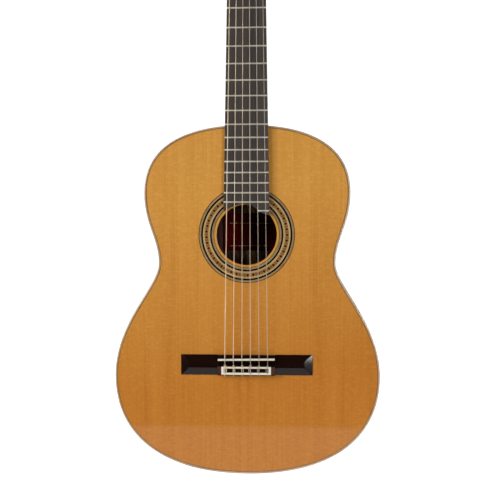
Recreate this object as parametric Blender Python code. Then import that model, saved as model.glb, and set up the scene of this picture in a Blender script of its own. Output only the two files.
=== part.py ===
"""Classical guitar, built as its separate wooden, bone, metal and nylon pieces.

Frame: +Z runs from the tail to the head, -Y is the front (the soundboard's side) and +X is the
treble side. The origin is the centre of the end graft's outer face, at the tail of the body.
Lengths are in metres.
"""

import math

import bmesh
import bpy
from mathutils import Matrix, Vector

MM = 0.001
GAP = 0.3 * MM  # clearance kept between pieces that touch on the real instrument
RUNNING_GAP = 0.15 * MM  # clearance round a shaft that turns

# ---- Scale and strings -------------------------------------------------------------------------
SCALE_LENGTH = 650 * MM
COMPENSATION = 2 * MM  # extra string length at the saddle
BODY_LENGTH = 487 * MM  # the twelfth fret stands over the end of the body
NUT_Z = BODY_LENGTH + SCALE_LENGTH / 2
SADDLE_Z = NUT_Z - SCALE_LENGTH - COMPENSATION
FRET_COUNT = 20
STRING_SPREAD_NUT = 42.5 * MM
STRING_SPREAD_SADDLE = 59.5 * MM
STRING_DIAMETERS = [d * MM for d in (1.12, 0.92, 0.76, 1.04, 0.84, 0.72)]  # bass E to treble E
STRING_SIDES = 6

# ---- Body --------------------------------------------------------------------------------------
TAIL_DEPTH = 96 * MM
HEEL_DEPTH = 90 * MM
SOUNDBOARD_Y = -TAIL_DEPTH / 2  # outer face of the soundboard
BACK_ARCH = 3 * MM  # rise of the back along its length
BACK_RADIUS = 3.6  # of the arch across the back
SOUNDBOARD_THICKNESS = 2.3 * MM
BACK_THICKNESS = 2.6 * MM
RIB_THICKNESS = 2 * MM
BINDING_WIDTH = 2.5 * MM
BINDING_HEIGHT = 6 * MM
LINING_WIDTH = 5 * MM
LINING_HEIGHT = 15 * MM
# The half outline is four Bezier pieces between the points where it runs straight up or across
LOWER_BOUT = (185.1 * MM, 136.8 * MM)  # half width and height above the tail
WAIST = (123.5 * MM, 293.9 * MM)
UPPER_BOUT = (144.3 * MM, 392.8 * MM)
TAIL_HANDLE = 122.7 * MM
LOWER_HANDLES = (82.8 * MM, 74.2 * MM)
WAIST_HANDLES = (32.3 * MM, 34.1 * MM)
UPPER_HANDLES = (43.8 * MM, 60.5 * MM)
SHOULDER_HANDLE = 94.9 * MM
OUTLINE_STEPS = 9  # straight lines in each Bezier piece
END_GRAFT_WIDTH = 16 * MM
TAIL_BLOCK_WIDTH = 60 * MM
TAIL_BLOCK_THICKNESS = 15 * MM
SOUNDHOLE_Z = 333.5 * MM
SOUNDHOLE_RADIUS = 42.2 * MM
ROSETTE_INNER = 45.3 * MM
ROSETTE_OUTER = 67.4 * MM
ROSETTE_DEPTH = 1 * MM
PATCH_OUTER = 56 * MM  # reinforcement ring glued under the soundboard round the hole
PATCH_THICKNESS = 1.5 * MM
HOLE_SEGMENTS = 40

# ---- Braces ------------------------------------------------------------------------------------
FAN_COUNT = 7
FAN_WIDTH = 5 * MM
FAN_HEIGHT = 5 * MM
FAN_LOWER_Z = 42 * MM
FAN_UPPER_Z = 258 * MM
FAN_SPREAD_LOWER = 42 * MM  # spacing between neighbours at the tail end
FAN_SPREAD_UPPER = 17 * MM
HARMONIC_BARS = {"harmonic_bar_lower": 274 * MM, "harmonic_bar_upper": 394 * MM}
BAR_WIDTH = 6 * MM
BAR_HEIGHT = 16 * MM
BAR_END = 5 * MM  # height left at the ends of every cross bar
BAR_SCALLOP = 25 * MM  # length over which a bar falls to its end
BACK_BRACES = {
    "back_brace_lower": 110 * MM,
    "back_brace_middle": 232 * MM,
    "back_brace_upper": 400 * MM,
}
BACK_BRACE_HEIGHT = 14 * MM
BACK_BRACE_WIDTH = 7 * MM
STRIP_WIDTH = 16 * MM  # cross-grain strip over the back's centre joint, inside
STRIP_THICKNESS = 1.8 * MM
LABEL_SIZE = (78 * MM, 58 * MM)
LABEL_THICKNESS = 0.4 * MM

# ---- Neck --------------------------------------------------------------------------------------
NUT_WIDTH = 50 * MM
WIDTH_AT_BODY = 60 * MM
FRETBOARD_THICKNESS = 6 * MM
FRET_WIDTH = 2.2 * MM
FRET_HEIGHT = 1.0 * MM
LAST_FRET_START = 15.5 * MM  # from the centre line: the last fret serves the treble strings only
NECK_DEPTH_NUT = 15.5 * MM  # of the wood behind the fretboard
NECK_DEPTH_BODY = 18 * MM
NECK_ROUNDNESS = 2.5  # exponent of the neck's rounded section
HEEL_ROUNDNESS = 1.7
HEAD_SQUARENESS = 14  # the same exponent where the neck meets the head
HEEL_CAP_THICKNESS = 3 * MM
HEEL_CAP_LENGTH = 27 * MM
HEEL_TAPER = 24 * MM  # how far the heel's sides would run past the cap before they meet
SLOT_HALF_WIDTH = 12 * MM  # the tongue of the heel that passes between the ribs' ends
NECK_BLOCK_HALF_WIDTH = 33 * MM
NECK_BLOCK_LENGTH = 28 * MM
NECK_FOOT_LENGTH = 60 * MM
NECK_FOOT_THICKNESS = 14 * MM
NECK_STEPS = 6  # straight lines in each half of the neck's section

# ---- Head --------------------------------------------------------------------------------------
HEAD_ANGLE = math.radians(15)
HEAD_LENGTH = 178 * MM
HEAD_HALF_WIDTH_BASE = NUT_WIDTH / 2
HEAD_HALF_WIDTH = 36 * MM
HEAD_THICKNESS = 17.5 * MM
VENEER_THICKNESS = 2.5 * MM
NUT_THICKNESS = 5 * MM
SLOT_INNER = 6.5 * MM  # the two string slots run between these distances from the centre line
SLOT_OUTER = 22.5 * MM
SLOT_START = 30 * MM
SLOT_END = 134 * MM
RAMP = ((9 * MM, 4 * MM), (42 * MM, -5.5 * MM), (42 * MM, 20 * MM), (9 * MM, 20 * MM))  # (along, out)

# ---- Tuning machines ---------------------------------------------------------------------------
ROLLER_SPACING = 35 * MM
FIRST_ROLLER = 46 * MM  # from the nut's back edge, along the head
ROLLER_DEPTH = -7.5 * MM  # of the rollers' axes below the head's wooden face
ROLLER_RADIUS = 5 * MM
JOURNAL_RADIUS = 3 * MM
PIN_RADIUS = 2.4 * MM
ROLLER_SIDES = 14
PLATE_THICKNESS = 1.2 * MM
PLATE_HEIGHT = 16 * MM
PLATE_MARGINS = (22 * MM, 14 * MM)  # beyond the first and the last roller
GEAR_TEETH = 14
TOOTH_MODULE = 0.9 * MM
PITCH_RADIUS = GEAR_TEETH * TOOTH_MODULE / 2
WORM_PITCH = math.pi * TOOTH_MODULE
WORM_PITCH_RADIUS = 2.4 * MM
ADDENDUM = 0.65 * MM
DEDENDUM = 0.85 * MM
TOOTH_HALF = 0.58 * MM  # half a tooth's thickness on the pitch line
FLANK_SLOPE = math.tan(math.radians(20))
GEAR_THICKNESS = 4 * MM
GEAR_X = HEAD_HALF_WIDTH + 5 * MM  # middle plane of the gear and axis of the worm
WORM_COLUMNS = 10
WORM_TURNS = 3
SHAFT_RADIUS = 1.4 * MM
LUG_THICKNESS = 2 * MM
LUG_HALF_WIDTH = 3.2 * MM
BUTTON_LENGTH = 15 * MM
BUTTON_HALF_WIDTH = 9.5 * MM
BUTTON_HALF_THICKNESS = 4.5 * MM
BUTTON_START = -24 * MM  # along the worm's axis, behind the head's wooden face

# ---- Bridge ------------------------------------------------------------------------------------
BRIDGE_REAR = 138.0 * MM
BRIDGE_FRONT = 166.4 * MM
BRIDGE_HALF_LENGTH = 91.9 * MM
WING_HEIGHT = 4.2 * MM
WING_BEVEL = 5 * MM
CENTRE_HALF_LENGTH = 40 * MM
SADDLE_BLOCK_HEIGHT = 8.2 * MM
TIE_BLOCK_HEIGHT = 9 * MM
TIE_BLOCK_FRONT = 150.2 * MM
TIE_CHANNEL_HEIGHT = 3.6 * MM
TIE_HOLE_HEIGHT = 5.2 * MM
TIE_HOLE_CLEARANCE = 0.35 * MM
TRIM_HALF_LENGTH = 34.5 * MM
TRIM_THICKNESS = 1.2 * MM
TRIM_FRONT_WIDTH = 2.8 * MM
TRIM_REAR_WIDTH = 3.5 * MM
TRIM_END_WIDTH = 3.8 * MM
SADDLE_THICKNESS = 2.8 * MM
SADDLE_HEIGHT = 11.4 * MM
SADDLE_SLOT_HEIGHT = 3.2 * MM  # of the slot's floor above the soundboard
SADDLE_SLANT = math.radians(0.7)  # the bass end stands further back


# ================================================================================================
# Helpers
# ================================================================================================
def clear_scene():
    """Remove every object, so that the guitar stands alone."""
    for obj in list(bpy.data.objects):
        bpy.data.objects.remove(obj)


def make_material(name, colour, roughness, metallic=0.0):
    """A Principled material with one colour."""
    material = bpy.data.materials.new(name)
    material.use_nodes = True
    shader = material.node_tree.nodes["Principled BSDF"]
    shader.inputs["Base Color"].default_value = (*colour, 1.0)
    shader.inputs["Roughness"].default_value = roughness
    shader.inputs["Metallic"].default_value = metallic
    return material


def mark_edges(mesh):
    """Shade round faces smooth and keep the true corners sharp."""
    mesh.shade_smooth()
    mesh.set_sharp_from_angle(angle=math.radians(30))


def add_object(name, mesh_builder, material=None, matrix=None):
    """A named object from a bmesh, with its normals pointing out."""
    bmesh.ops.recalc_face_normals(mesh_builder, faces=mesh_builder.faces)
    mesh = bpy.data.meshes.new(name)
    mesh_builder.to_mesh(mesh)
    mesh_builder.free()
    mark_edges(mesh)
    obj = bpy.data.objects.new(name, mesh)
    bpy.context.scene.collection.objects.link(obj)
    if material:
        mesh.materials.append(material)
    if matrix is not None:
        obj.matrix_world = matrix
    return obj


def combine(target, tool, operation):
    """Join a tool to the target, or cut it away, and drop the tool."""
    modifier = target.modifiers.new(tool.name, "BOOLEAN")
    modifier.operation = operation
    modifier.solver = "EXACT"
    modifier.object = tool
    bpy.context.view_layer.update()
    graph = bpy.context.evaluated_depsgraph_get()
    shaped = bpy.data.meshes.new_from_object(target.evaluated_get(graph))
    target.modifiers.clear()
    target.data = shaped
    mark_edges(shaped)
    bpy.data.objects.remove(tool)


def loft(rings):
    """A closed skin through rings of equally many points, with a flat cap on each end."""
    bm = bmesh.new()
    rows = [[bm.verts.new(point) for point in ring] for ring in rings]
    count = len(rows[0])
    for lower, upper in zip(rows, rows[1:]):
        for i in range(count):
            j = (i + 1) % count
            bm.faces.new((lower[i], lower[j], upper[j], upper[i]))
    bm.faces.new(rows[0])
    bm.faces.new(rows[-1])
    return bm


def slab(polygon, front, back):
    """A plate with an outline in X and Z, between two faces given as Y of (x, z)."""
    return loft([[Vector((x, face(x, z), z)) for x, z in polygon] for face in (front, back)])


def band(outer, inner, front, back, closed):
    """A strip that follows the body's outline, between an outer and an inner line."""
    bm = bmesh.new()
    sections = []
    for (xo, zo), (xi, zi) in zip(outer, inner):
        corners = (
            (xo, front(xo, zo), zo),
            (xo, back(xo, zo), zo),
            (xi, back(xi, zi), zi),
            (xi, front(xi, zi), zi),
        )
        sections.append([bm.verts.new(corner) for corner in corners])
    pairs = list(zip(sections, sections[1:]))
    if closed:
        pairs.append((sections[-1], sections[0]))
    for here, there in pairs:
        for i in range(4):
            j = (i + 1) % 4
            bm.faces.new((here[i], here[j], there[j], there[i]))
    if not closed:
        bm.faces.new(sections[0])
        bm.faces.new(sections[-1])
    return bm


def box(low, high):
    """A plain block between two corners."""
    bm = bmesh.new()
    bmesh.ops.create_cube(bm, size=1.0)
    size = Vector(high) - Vector(low)
    middle = (Vector(high) + Vector(low)) / 2
    bmesh.ops.scale(bm, vec=size, verts=bm.verts)
    bmesh.ops.translate(bm, vec=middle, verts=bm.verts)
    return bm


def turned(profile, sides, phase=0.0):
    """A solid turned about the local X axis, from (x, radius) pairs along it."""
    rings = []
    for x, radius in profile:
        angles = [phase + 2 * math.pi * i / sides for i in range(sides)]
        rings.append([Vector((x, radius * math.cos(a), radius * math.sin(a))) for a in angles])
    return loft(rings)


def washer(inner, outer, front, back, segments):
    """A flat ring about the soundhole's axis."""
    circle = [2 * math.pi * i / segments for i in range(segments)]
    lines = [
        [(radius * math.cos(a), SOUNDHOLE_Z + radius * math.sin(a)) for a in circle]
        for radius in (outer, inner)
    ]
    return band(lines[0], lines[1], lambda x, z: front, lambda x, z: back, closed=True)


def tube(points, radius, sides=STRING_SIDES):
    """A round bar through a list of points, with mitred bends."""
    rings = []
    side = Vector((1, 0, 0))
    for i, point in enumerate(points):
        before = (point - points[i - 1]).normalized() if i else None
        after = (points[i + 1] - point).normalized() if i + 1 < len(points) else None
        along = ((before or after) + (after or before)).normalized()
        stretch = 1.0
        if before and after:
            stretch = 1 / max(0.5, math.cos(before.angle(after) / 2))
        side = (side - along * side.dot(along)).normalized()
        bend_side = along.cross(side)
        angles = [2 * math.pi * k / sides for k in range(sides)]
        rings.append(
            [point + (side * math.cos(a) + bend_side * math.sin(a) * stretch) * radius for a in angles]
        )
    return loft(rings)


# ================================================================================================
# The body's outline and faces
# ================================================================================================
def bezier(p0, p1, p2, p3, t):
    """Point of a cubic Bezier curve."""
    s = 1 - t
    weights = (s * s * s, 3 * s * s * t, 3 * s * t * t, t * t * t)
    return tuple(sum(w * p[k] for w, p in zip(weights, (p0, p1, p2, p3))) for k in (0, 1))


def outline_pieces():
    """The four Bezier pieces of the treble half, from the tail's centre up to the heel's."""
    (lx, lz), (wx, wz), (ux, uz) = LOWER_BOUT, WAIST, UPPER_BOUT
    return [
        ((0, 0), (TAIL_HANDLE, 0), (lx, lz - LOWER_HANDLES[0]), (lx, lz)),
        ((lx, lz), (lx, lz + LOWER_HANDLES[1]), (wx, wz - WAIST_HANDLES[0]), (wx, wz)),
        ((wx, wz), (wx, wz + WAIST_HANDLES[1]), (ux, uz - UPPER_HANDLES[0]), (ux, uz)),
        ((ux, uz), (ux, uz + UPPER_HANDLES[1]), (SHOULDER_HANDLE, BODY_LENGTH), (0, BODY_LENGTH)),
    ]


def outline_point(s):
    """Point of the half outline at s, from 0 at the tail to 4 at the heel, with its outward normal."""
    index = min(3, int(s))
    piece = outline_pieces()[index]
    t = s - index
    step = 1e-4
    x, z = bezier(*piece, t)
    x0, z0 = bezier(*piece, max(0.0, t - step))
    x1, z1 = bezier(*piece, min(1.0, t + step))
    along = Vector((x1 - x0, z1 - z0)).normalized()
    return x, z, along.y, -along.x


def at_width(here, there, width):
    """Point on the straight line through two points, at a distance from the centre line."""
    share = (width - here[0]) / (there[0] - here[0])
    return width, here[1] + (there[1] - here[1]) * share


def half_line(inset, tail_x=0.0, heel_x=0.0):
    """The treble half of the outline, moved inwards, from one distance off the centre to another."""
    steps = [outline_point(k / OUTLINE_STEPS) for k in range(4 * OUTLINE_STEPS + 1)]
    line = [(x - nx * inset, z - nz * inset) for x, z, nx, nz in steps]
    middle = 2 * OUTLINE_STEPS
    first = next(k for k in range(middle) if steps[k][0] > tail_x + 1 * MM)
    last = next(k for k in range(4 * OUTLINE_STEPS, middle, -1) if steps[k][0] > heel_x + 1 * MM)
    start = at_width(line[first - 1], line[first], tail_x)
    end = at_width(line[last + 1], line[last], heel_x)
    return [start, *line[first : last + 1], end]


def closed_line(inset):
    """The whole outline, moved inwards, once round."""
    half = half_line(inset)
    return half + [(-x, z) for x, z in reversed(half[1:-1])]


def back_face(x, z):
    """Y of the arched back's outer face."""
    t = z / BODY_LENGTH
    depth = TAIL_DEPTH + (HEEL_DEPTH - TAIL_DEPTH) * t + BACK_ARCH * 4 * t * (1 - t)
    return SOUNDBOARD_Y + depth - x * x / (2 * BACK_RADIUS)


def below_front(depth):
    """A face that lies a constant depth behind the soundboard's outer face."""
    return lambda x, z: SOUNDBOARD_Y + depth


def inside_back(depth):
    """A face that lies a constant depth inside the back's outer face."""
    return lambda x, z: back_face(x, z) - depth


def half_width_at(z, inset):
    """Distance from the centre line to the outline, moved inwards, at a height."""
    line = half_line(inset)
    for (x0, z0), (x1, z1) in zip(line, line[1:]):
        if z0 <= z <= z1:
            return x0 + (x1 - x0) * (z - z0) / (z1 - z0)
    return 0.0


def bar_reach(z, width):
    """How far a cross bar of that width reaches from the centre line between the linings."""
    inset = LINING_INSET + LINING_WIDTH
    return min(half_width_at(z + side * width / 2, inset) for side in (-1, 1)) - GAP


def fretboard_half_width(z):
    """Half width of the fretboard and neck at a height."""
    slope = (WIDTH_AT_BODY - NUT_WIDTH) / (NUT_Z - BODY_LENGTH)
    return (NUT_WIDTH + slope * (NUT_Z - z)) / 2


# ================================================================================================
# Body
# ================================================================================================
UNDER_TOP = SOUNDBOARD_THICKNESS + GAP  # depth at which pieces under the soundboard start
OVER_BACK = BACK_THICKNESS + GAP
PLATE_INSET = BINDING_WIDTH + GAP
LINING_INSET = BINDING_WIDTH + GAP


def make_soundboard(material):
    """The flat top with its soundhole and the channel for the rosette."""
    top = add_object(
        "soundboard",
        slab(closed_line(PLATE_INSET), below_front(0), below_front(SOUNDBOARD_THICKNESS)),
        material,
    )
    radius = SOUNDHOLE_RADIUS
    hole = [2 * math.pi * i / HOLE_SEGMENTS for i in range(HOLE_SEGMENTS)]
    circle = [(radius * math.cos(a), SOUNDHOLE_Z + radius * math.sin(a)) for a in hole]
    cutter = slab(circle, below_front(-5 * MM), below_front(8 * MM))
    combine(top, add_object("soundhole_cutter", cutter), "DIFFERENCE")
    channel = washer(
        ROSETTE_INNER - GAP,
        ROSETTE_OUTER + GAP,
        SOUNDBOARD_Y - 5 * MM,
        SOUNDBOARD_Y + ROSETTE_DEPTH + GAP,
        HOLE_SEGMENTS,
    )
    combine(top, add_object("rosette_channel_cutter", channel), "DIFFERENCE")


def make_rosette(material):
    """The inlaid ring round the soundhole."""
    floor = SOUNDBOARD_Y + ROSETTE_DEPTH
    ring = washer(ROSETTE_INNER, ROSETTE_OUTER, SOUNDBOARD_Y, floor, HOLE_SEGMENTS)
    add_object("rosette", ring, material)


def make_soundhole_patch(material):
    """The ring that stiffens the soundboard under the hole's edge."""
    front = SOUNDBOARD_Y + UNDER_TOP
    ring = washer(SOUNDHOLE_RADIUS + 1 * MM, PATCH_OUTER, front, front + PATCH_THICKNESS, 24)
    add_object("soundhole_patch", ring, material)


def make_back(material):
    """The arched back plate, as a grid of rows across the body."""
    columns = 4
    bm = bmesh.new()
    half = half_line(PLATE_INSET)
    outer_rows, inner_rows = [], []
    for x, z in half[1:-1]:
        across = [x * (2 * k / columns - 1) for k in range(columns + 1)]
        outer_rows.append([bm.verts.new((a, back_face(a, z), z)) for a in across])
        inner_rows.append([bm.verts.new((a, back_face(a, z) - BACK_THICKNESS, z)) for a in across])
    ends = []
    for z in (half[0][1], half[-1][1]):
        y = back_face(0, z)
        ends.append((bm.verts.new((0, y, z)), bm.verts.new((0, y - BACK_THICKNESS, z))))
    for rows in (outer_rows, inner_rows):
        for lower, upper in zip(rows, rows[1:]):
            for k in range(columns):
                bm.faces.new((lower[k], lower[k + 1], upper[k + 1], upper[k]))
    for (outer_row, inner_row), (outer_end, inner_end) in (
        ((outer_rows[0], inner_rows[0]), ends[0]),
        ((outer_rows[-1], inner_rows[-1]), ends[1]),
    ):
        bm.faces.new([outer_end, *outer_row])
        bm.faces.new([inner_end, *inner_row])
        for k in (0, columns):
            bm.faces.new((outer_end, outer_row[k], inner_row[k], inner_end))
    for k in (0, columns):
        outer_edge = [row[k] for row in outer_rows]
        inner_edge = [row[k] for row in inner_rows]
        for i in range(len(outer_edge) - 1):
            bm.faces.new((outer_edge[i], outer_edge[i + 1], inner_edge[i + 1], inner_edge[i]))
    add_object("back", bm, material)


def mirrored(line):
    """The bass side's copy of a treble line."""
    return [(-x, z) for x, z in line]


def make_sides(wood, lining_wood, graft_wood):
    """Both ribs, the four linings and the end graft between the ribs at the tail."""
    rib_front = below_front(BINDING_HEIGHT + GAP)
    rib_back = inside_back(BINDING_HEIGHT + GAP)
    graft_half = END_GRAFT_WIDTH / 2
    rib = {"tail_x": graft_half + GAP, "heel_x": SLOT_HALF_WIDTH + GAP}
    lining = {"tail_x": TAIL_BLOCK_WIDTH / 2 + 1 * MM, "heel_x": NECK_BLOCK_HALF_WIDTH + 1 * MM}
    levels = {
        "top": (below_front(UNDER_TOP), below_front(UNDER_TOP + LINING_HEIGHT)),
        "back": (inside_back(OVER_BACK + LINING_HEIGHT), inside_back(OVER_BACK)),
    }
    for side, turn in (("treble", list), ("bass", mirrored)):
        lines = [turn(half_line(inset, **rib)) for inset in (0, RIB_THICKNESS)]
        add_object(f"rib_{side}", band(*lines, rib_front, rib_back, closed=False), wood)
        insets = (LINING_INSET, LINING_INSET + LINING_WIDTH)
        lines = [turn(half_line(inset, **lining)) for inset in insets]
        for level, (front, back) in levels.items():
            strip = band(*lines, front, back, closed=False)
            add_object(f"lining_{level}_{side}", strip, lining_wood)
    low = (-graft_half, SOUNDBOARD_Y + BINDING_HEIGHT + GAP, 0)
    high = (graft_half, -low[1], RIB_THICKNESS)
    add_object("end_graft", box(low, high), graft_wood)


def make_bindings(material):
    """The strips that close the edges of the front and the back."""
    lines = (closed_line(0), closed_line(BINDING_WIDTH))
    front = band(*lines, below_front(0), below_front(BINDING_HEIGHT), closed=True)
    add_object("binding_top", front, material)
    back = band(*lines, inside_back(BINDING_HEIGHT), inside_back(0), closed=True)
    add_object("binding_back", back, material)


def make_tail_block(material):
    """The block behind the end graft that the ribs are glued to."""
    inset = RIB_THICKNESS + GAP
    half = TAIL_BLOCK_WIDTH / 2
    line = half_line(inset)
    beyond = next(k for k, (x, z) in enumerate(line) if x > half)
    right = line[:beyond] + [at_width(line[beyond - 1], line[beyond], half)]
    right.append((half, TAIL_BLOCK_THICKNESS + inset))
    polygon = right + [(-x, z) for x, z in reversed(right[1:])]
    # The block stays behind the bindings, which are wider than the ribs
    front = below_front(BINDING_HEIGHT + GAP)
    add_object("tail_block", slab(polygon, front, inside_back(BINDING_HEIGHT + GAP)), material)


def make_fan_braces(material):
    """Seven light bars that fan out under the bridge."""
    front = SOUNDBOARD_Y + UNDER_TOP
    for k in range(FAN_COUNT):
        place = k - (FAN_COUNT - 1) / 2
        low = Vector((place * FAN_SPREAD_LOWER, 0, FAN_LOWER_Z + abs(place) * abs(place) * 5.5 * MM))
        high = Vector((place * FAN_SPREAD_UPPER, 0, FAN_UPPER_Z - abs(place) * 4 * MM))
        along = (high - low).normalized()
        across = Vector((along.z, 0, -along.x)) * FAN_WIDTH / 2
        length = (high - low).length
        rings = []
        for share, height in ((0, 1.5 * MM), (0.12, FAN_HEIGHT), (0.88, FAN_HEIGHT), (1, 1.5 * MM)):
            foot = low + along * (length * share)
            crown = across * 0.45
            rings.append(
                [
                    foot - across + Vector((0, front, 0)),
                    foot + across + Vector((0, front, 0)),
                    foot + crown + Vector((0, front + height, 0)),
                    foot - crown + Vector((0, front + height, 0)),
                ]
            )
        add_object(f"fan_brace_{k + 1}", loft(rings), material)


def make_harmonic_bars(material):
    """The two cross bars under the soundboard, above and below the hole."""
    front = SOUNDBOARD_Y + UNDER_TOP
    for name, z in HARMONIC_BARS.items():
        half = bar_reach(z, BAR_WIDTH)
        full = half - BAR_SCALLOP
        rings = []
        for x, height in ((-half, BAR_END), (-full, BAR_HEIGHT), (full, BAR_HEIGHT), (half, BAR_END)):
            corners = ((front, -0.5), (front, 0.5), (front + height, 0.3), (front + height, -0.3))
            rings.append([Vector((x, y, z + BAR_WIDTH * share)) for y, share in corners])
        add_object(name, loft(rings), material)


def make_back_braces(material):
    """Three cross bars that hold the back's arch, notched over the centre strip."""
    for name, z in BACK_BRACES.items():
        half = bar_reach(z, BACK_BRACE_WIDTH)
        notch = STRIP_WIDTH / 2 + GAP
        stations = [-half, -half * 0.6, -half * 0.3, -notch, notch, half * 0.3, half * 0.6, half]
        foot = inside_back(OVER_BACK)
        outer = [(x, foot(x, z)) for x in stations]
        notch_depth = STRIP_THICKNESS + GAP
        middle = [(-notch, foot(-notch, z) - notch_depth), (notch, foot(notch, z) - notch_depth)]
        crown = foot(0, z) - BACK_BRACE_HEIGHT
        full = half - BAR_SCALLOP
        end = foot(half, z) - BAR_END
        inner = [(half, end), (full, crown), (-full, crown), (-half, end)]
        polygon = outer[:4] + middle + outer[4:] + inner
        halves = (-BACK_BRACE_WIDTH / 2, BACK_BRACE_WIDTH / 2)
        rings = [[Vector((x, y, z + offset)) for x, y in polygon] for offset in halves]
        add_object(name, loft(rings), material)


def make_back_strip(material):
    """The strip over the back's centre joint, from the tail block to the neck's foot."""
    low = TAIL_BLOCK_THICKNESS + RIB_THICKNESS + 1 * MM
    high = BODY_LENGTH - NECK_FOOT_LENGTH - 5 * MM
    rows = [low + (high - low) * k / 8 for k in range(9)]
    half = STRIP_WIDTH / 2
    crown = half * 0.8
    rings = []
    for z in rows:
        foot = back_face(half, z) - OVER_BACK
        inner = foot - STRIP_THICKNESS
        corners = ((-half, foot), (half, foot), (crown, inner), (-crown, inner))
        rings.append([Vector((x, y, z)) for x, y in corners])
    add_object("back_centre_strip", loft(rings), material)


def make_label(material):
    """The maker's paper label inside the back, left blank."""
    width, height = LABEL_SIZE
    middle = SOUNDHOLE_Z + 4 * MM
    low_z, high_z = middle - height / 2, middle + height / 2
    y = min(back_face(STRIP_WIDTH / 2, z) for z in (low_z, high_z)) - OVER_BACK - STRIP_THICKNESS - GAP
    low = (-width / 2, y - LABEL_THICKNESS, low_z)
    add_object("label", box(low, (width / 2, y, high_z)), material)


# ================================================================================================
# Neck, fretboard and nut
# ================================================================================================
def neck_ring(z, depth, roundness, floor):
    """Points round the neck's section, from the treble edge round the back to the bass edge."""
    half = fretboard_half_width(z)
    last = math.radians(86)
    if depth > floor:
        last = min(last, math.asin((floor / depth) ** (roundness / 2)))
    right = []
    for k in range(NECK_STEPS + 1):
        angle = last * k / NECK_STEPS
        x = half * math.cos(angle) ** (2 / roundness)
        right.append((x, SOUNDBOARD_Y + depth * math.sin(angle) ** (2 / roundness)))
    ring = right + [(-x, y) for x, y in reversed(right)]
    return [Vector((x, y, z)) for x, y in ring]


def heel_floor():
    """Depth of the heel's wood, under the heel cap."""
    return HEEL_DEPTH - HEEL_CAP_THICKNESS - GAP


def neck_stations():
    """(z, depth, roundness) from the body's end, over the heel's curve and up to the nut."""
    start = BODY_LENGTH + GAP
    floor = heel_floor()
    stations = []
    for k in range(5):
        t = k / 4
        stations.append((start + HEEL_CAP_LENGTH * t, floor + HEEL_TAPER * (1 - t * t), HEEL_ROUNDNESS))
    tip = start + HEEL_CAP_LENGTH
    shaft = NECK_DEPTH_BODY
    curve = ((tip, floor), (tip + 2 * MM, floor * 0.45), (tip + 6 * MM, shaft), (tip + 62 * MM, shaft))
    for k in range(1, 9):
        t = k / 8
        z, depth = bezier(*curve, t)
        stations.append((z, depth, HEEL_ROUNDNESS + (NECK_ROUNDNESS - HEEL_ROUNDNESS) * t))
    # Under the nut the round neck turns square, to meet the head
    thicker = HEAD_THICKNESS / math.cos(HEAD_ANGLE) - NECK_DEPTH_NUT
    squarer = HEAD_SQUARENESS - NECK_ROUNDNESS
    for before_nut, share in ((38, 0.0), (26, 0.1), (14, 0.35), (4, 0.75), (-NUT_THICKNESS / MM, 1.0)):
        depth = NECK_DEPTH_NUT + thicker * share
        stations.append((NUT_Z - before_nut * MM, depth, NECK_ROUNDNESS + squarer * share))
    return stations


def make_neck(material):
    """The neck shaft and heel, with the tongue, block and foot that hold the body."""
    rings = [neck_ring(z, depth, roundness, heel_floor()) for z, depth, roundness in neck_stations()]
    neck = add_object("neck", loft(rings), material)
    block_end = BODY_LENGTH - RIB_THICKNESS - 2.2 * MM
    front = SOUNDBOARD_Y + BINDING_HEIGHT + GAP
    back = back_face(SLOT_HALF_WIDTH, BODY_LENGTH) - BINDING_HEIGHT - GAP
    low = (-SLOT_HALF_WIDTH, front, block_end - 5 * MM)
    tongue = box(low, (SLOT_HALF_WIDTH, back, BODY_LENGTH + 5 * MM))
    combine(neck, add_object("neck_tongue_tool", tongue), "UNION")
    floor = back_face(NECK_BLOCK_HALF_WIDTH, BODY_LENGTH) - OVER_BACK
    block_start = block_end - NECK_BLOCK_LENGTH
    foot_start = BODY_LENGTH - NECK_FOOT_LENGTH
    side = [
        (SOUNDBOARD_Y + UNDER_TOP, block_start),
        (SOUNDBOARD_Y + UNDER_TOP, block_end),
        (floor, block_end),
        (floor, foot_start),
        (floor - NECK_FOOT_THICKNESS, foot_start),
        (floor - NECK_FOOT_THICKNESS, block_start),
    ]
    halves = (-NECK_BLOCK_HALF_WIDTH, NECK_BLOCK_HALF_WIDTH)
    block = loft([[Vector((x, y, z)) for y, z in side] for x in halves])
    combine(neck, add_object("neck_block_tool", block), "UNION")


def make_heel_cap(material):
    """The plate on the heel's end, level with the back."""
    start = BODY_LENGTH + GAP
    floor = heel_floor() + GAP
    right = []
    for k in range(9):
        t = math.sin(math.pi / 2 * k / 8)
        z = start + HEEL_CAP_LENGTH * t
        depth = floor + HEEL_TAPER * (1 - t * t)
        share = max(0.0, 1 - (floor / depth) ** HEEL_ROUNDNESS) ** (1 / HEEL_ROUNDNESS)
        right.append((fretboard_half_width(z) * share, z))
    polygon = right + [(-x, z) for x, z in reversed(right[:-1])]
    face = SOUNDBOARD_Y + HEEL_DEPTH
    cap = slab(polygon, lambda x, z: face - HEEL_CAP_THICKNESS, lambda x, z: face)
    add_object("heel_cap", cap, material)


def fret_z(number):
    """Height of a fret, by the rule of equal temperament."""
    return NUT_Z - SCALE_LENGTH * (1 - 2 ** (-number / 12))


def fretboard_end_curve():
    """The board's end over the soundhole, bass to treble: an arc, then a tongue for the last fret."""
    radius, crest = 55 * MM, 376.3 * MM
    arc = []
    for k in range(6):
        x = (-36 + 40 * k / 5) * MM
        arc.append((x, crest - radius + math.sqrt(radius * radius - x * x)))
    tongue = [
        bezier(arc[-1], (13 * MM, 373 * MM), (14 * MM, 362.5 * MM), (36 * MM, 359.8 * MM), k / 6)
        for k in range(1, 7)
    ]
    return arc + tongue


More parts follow.
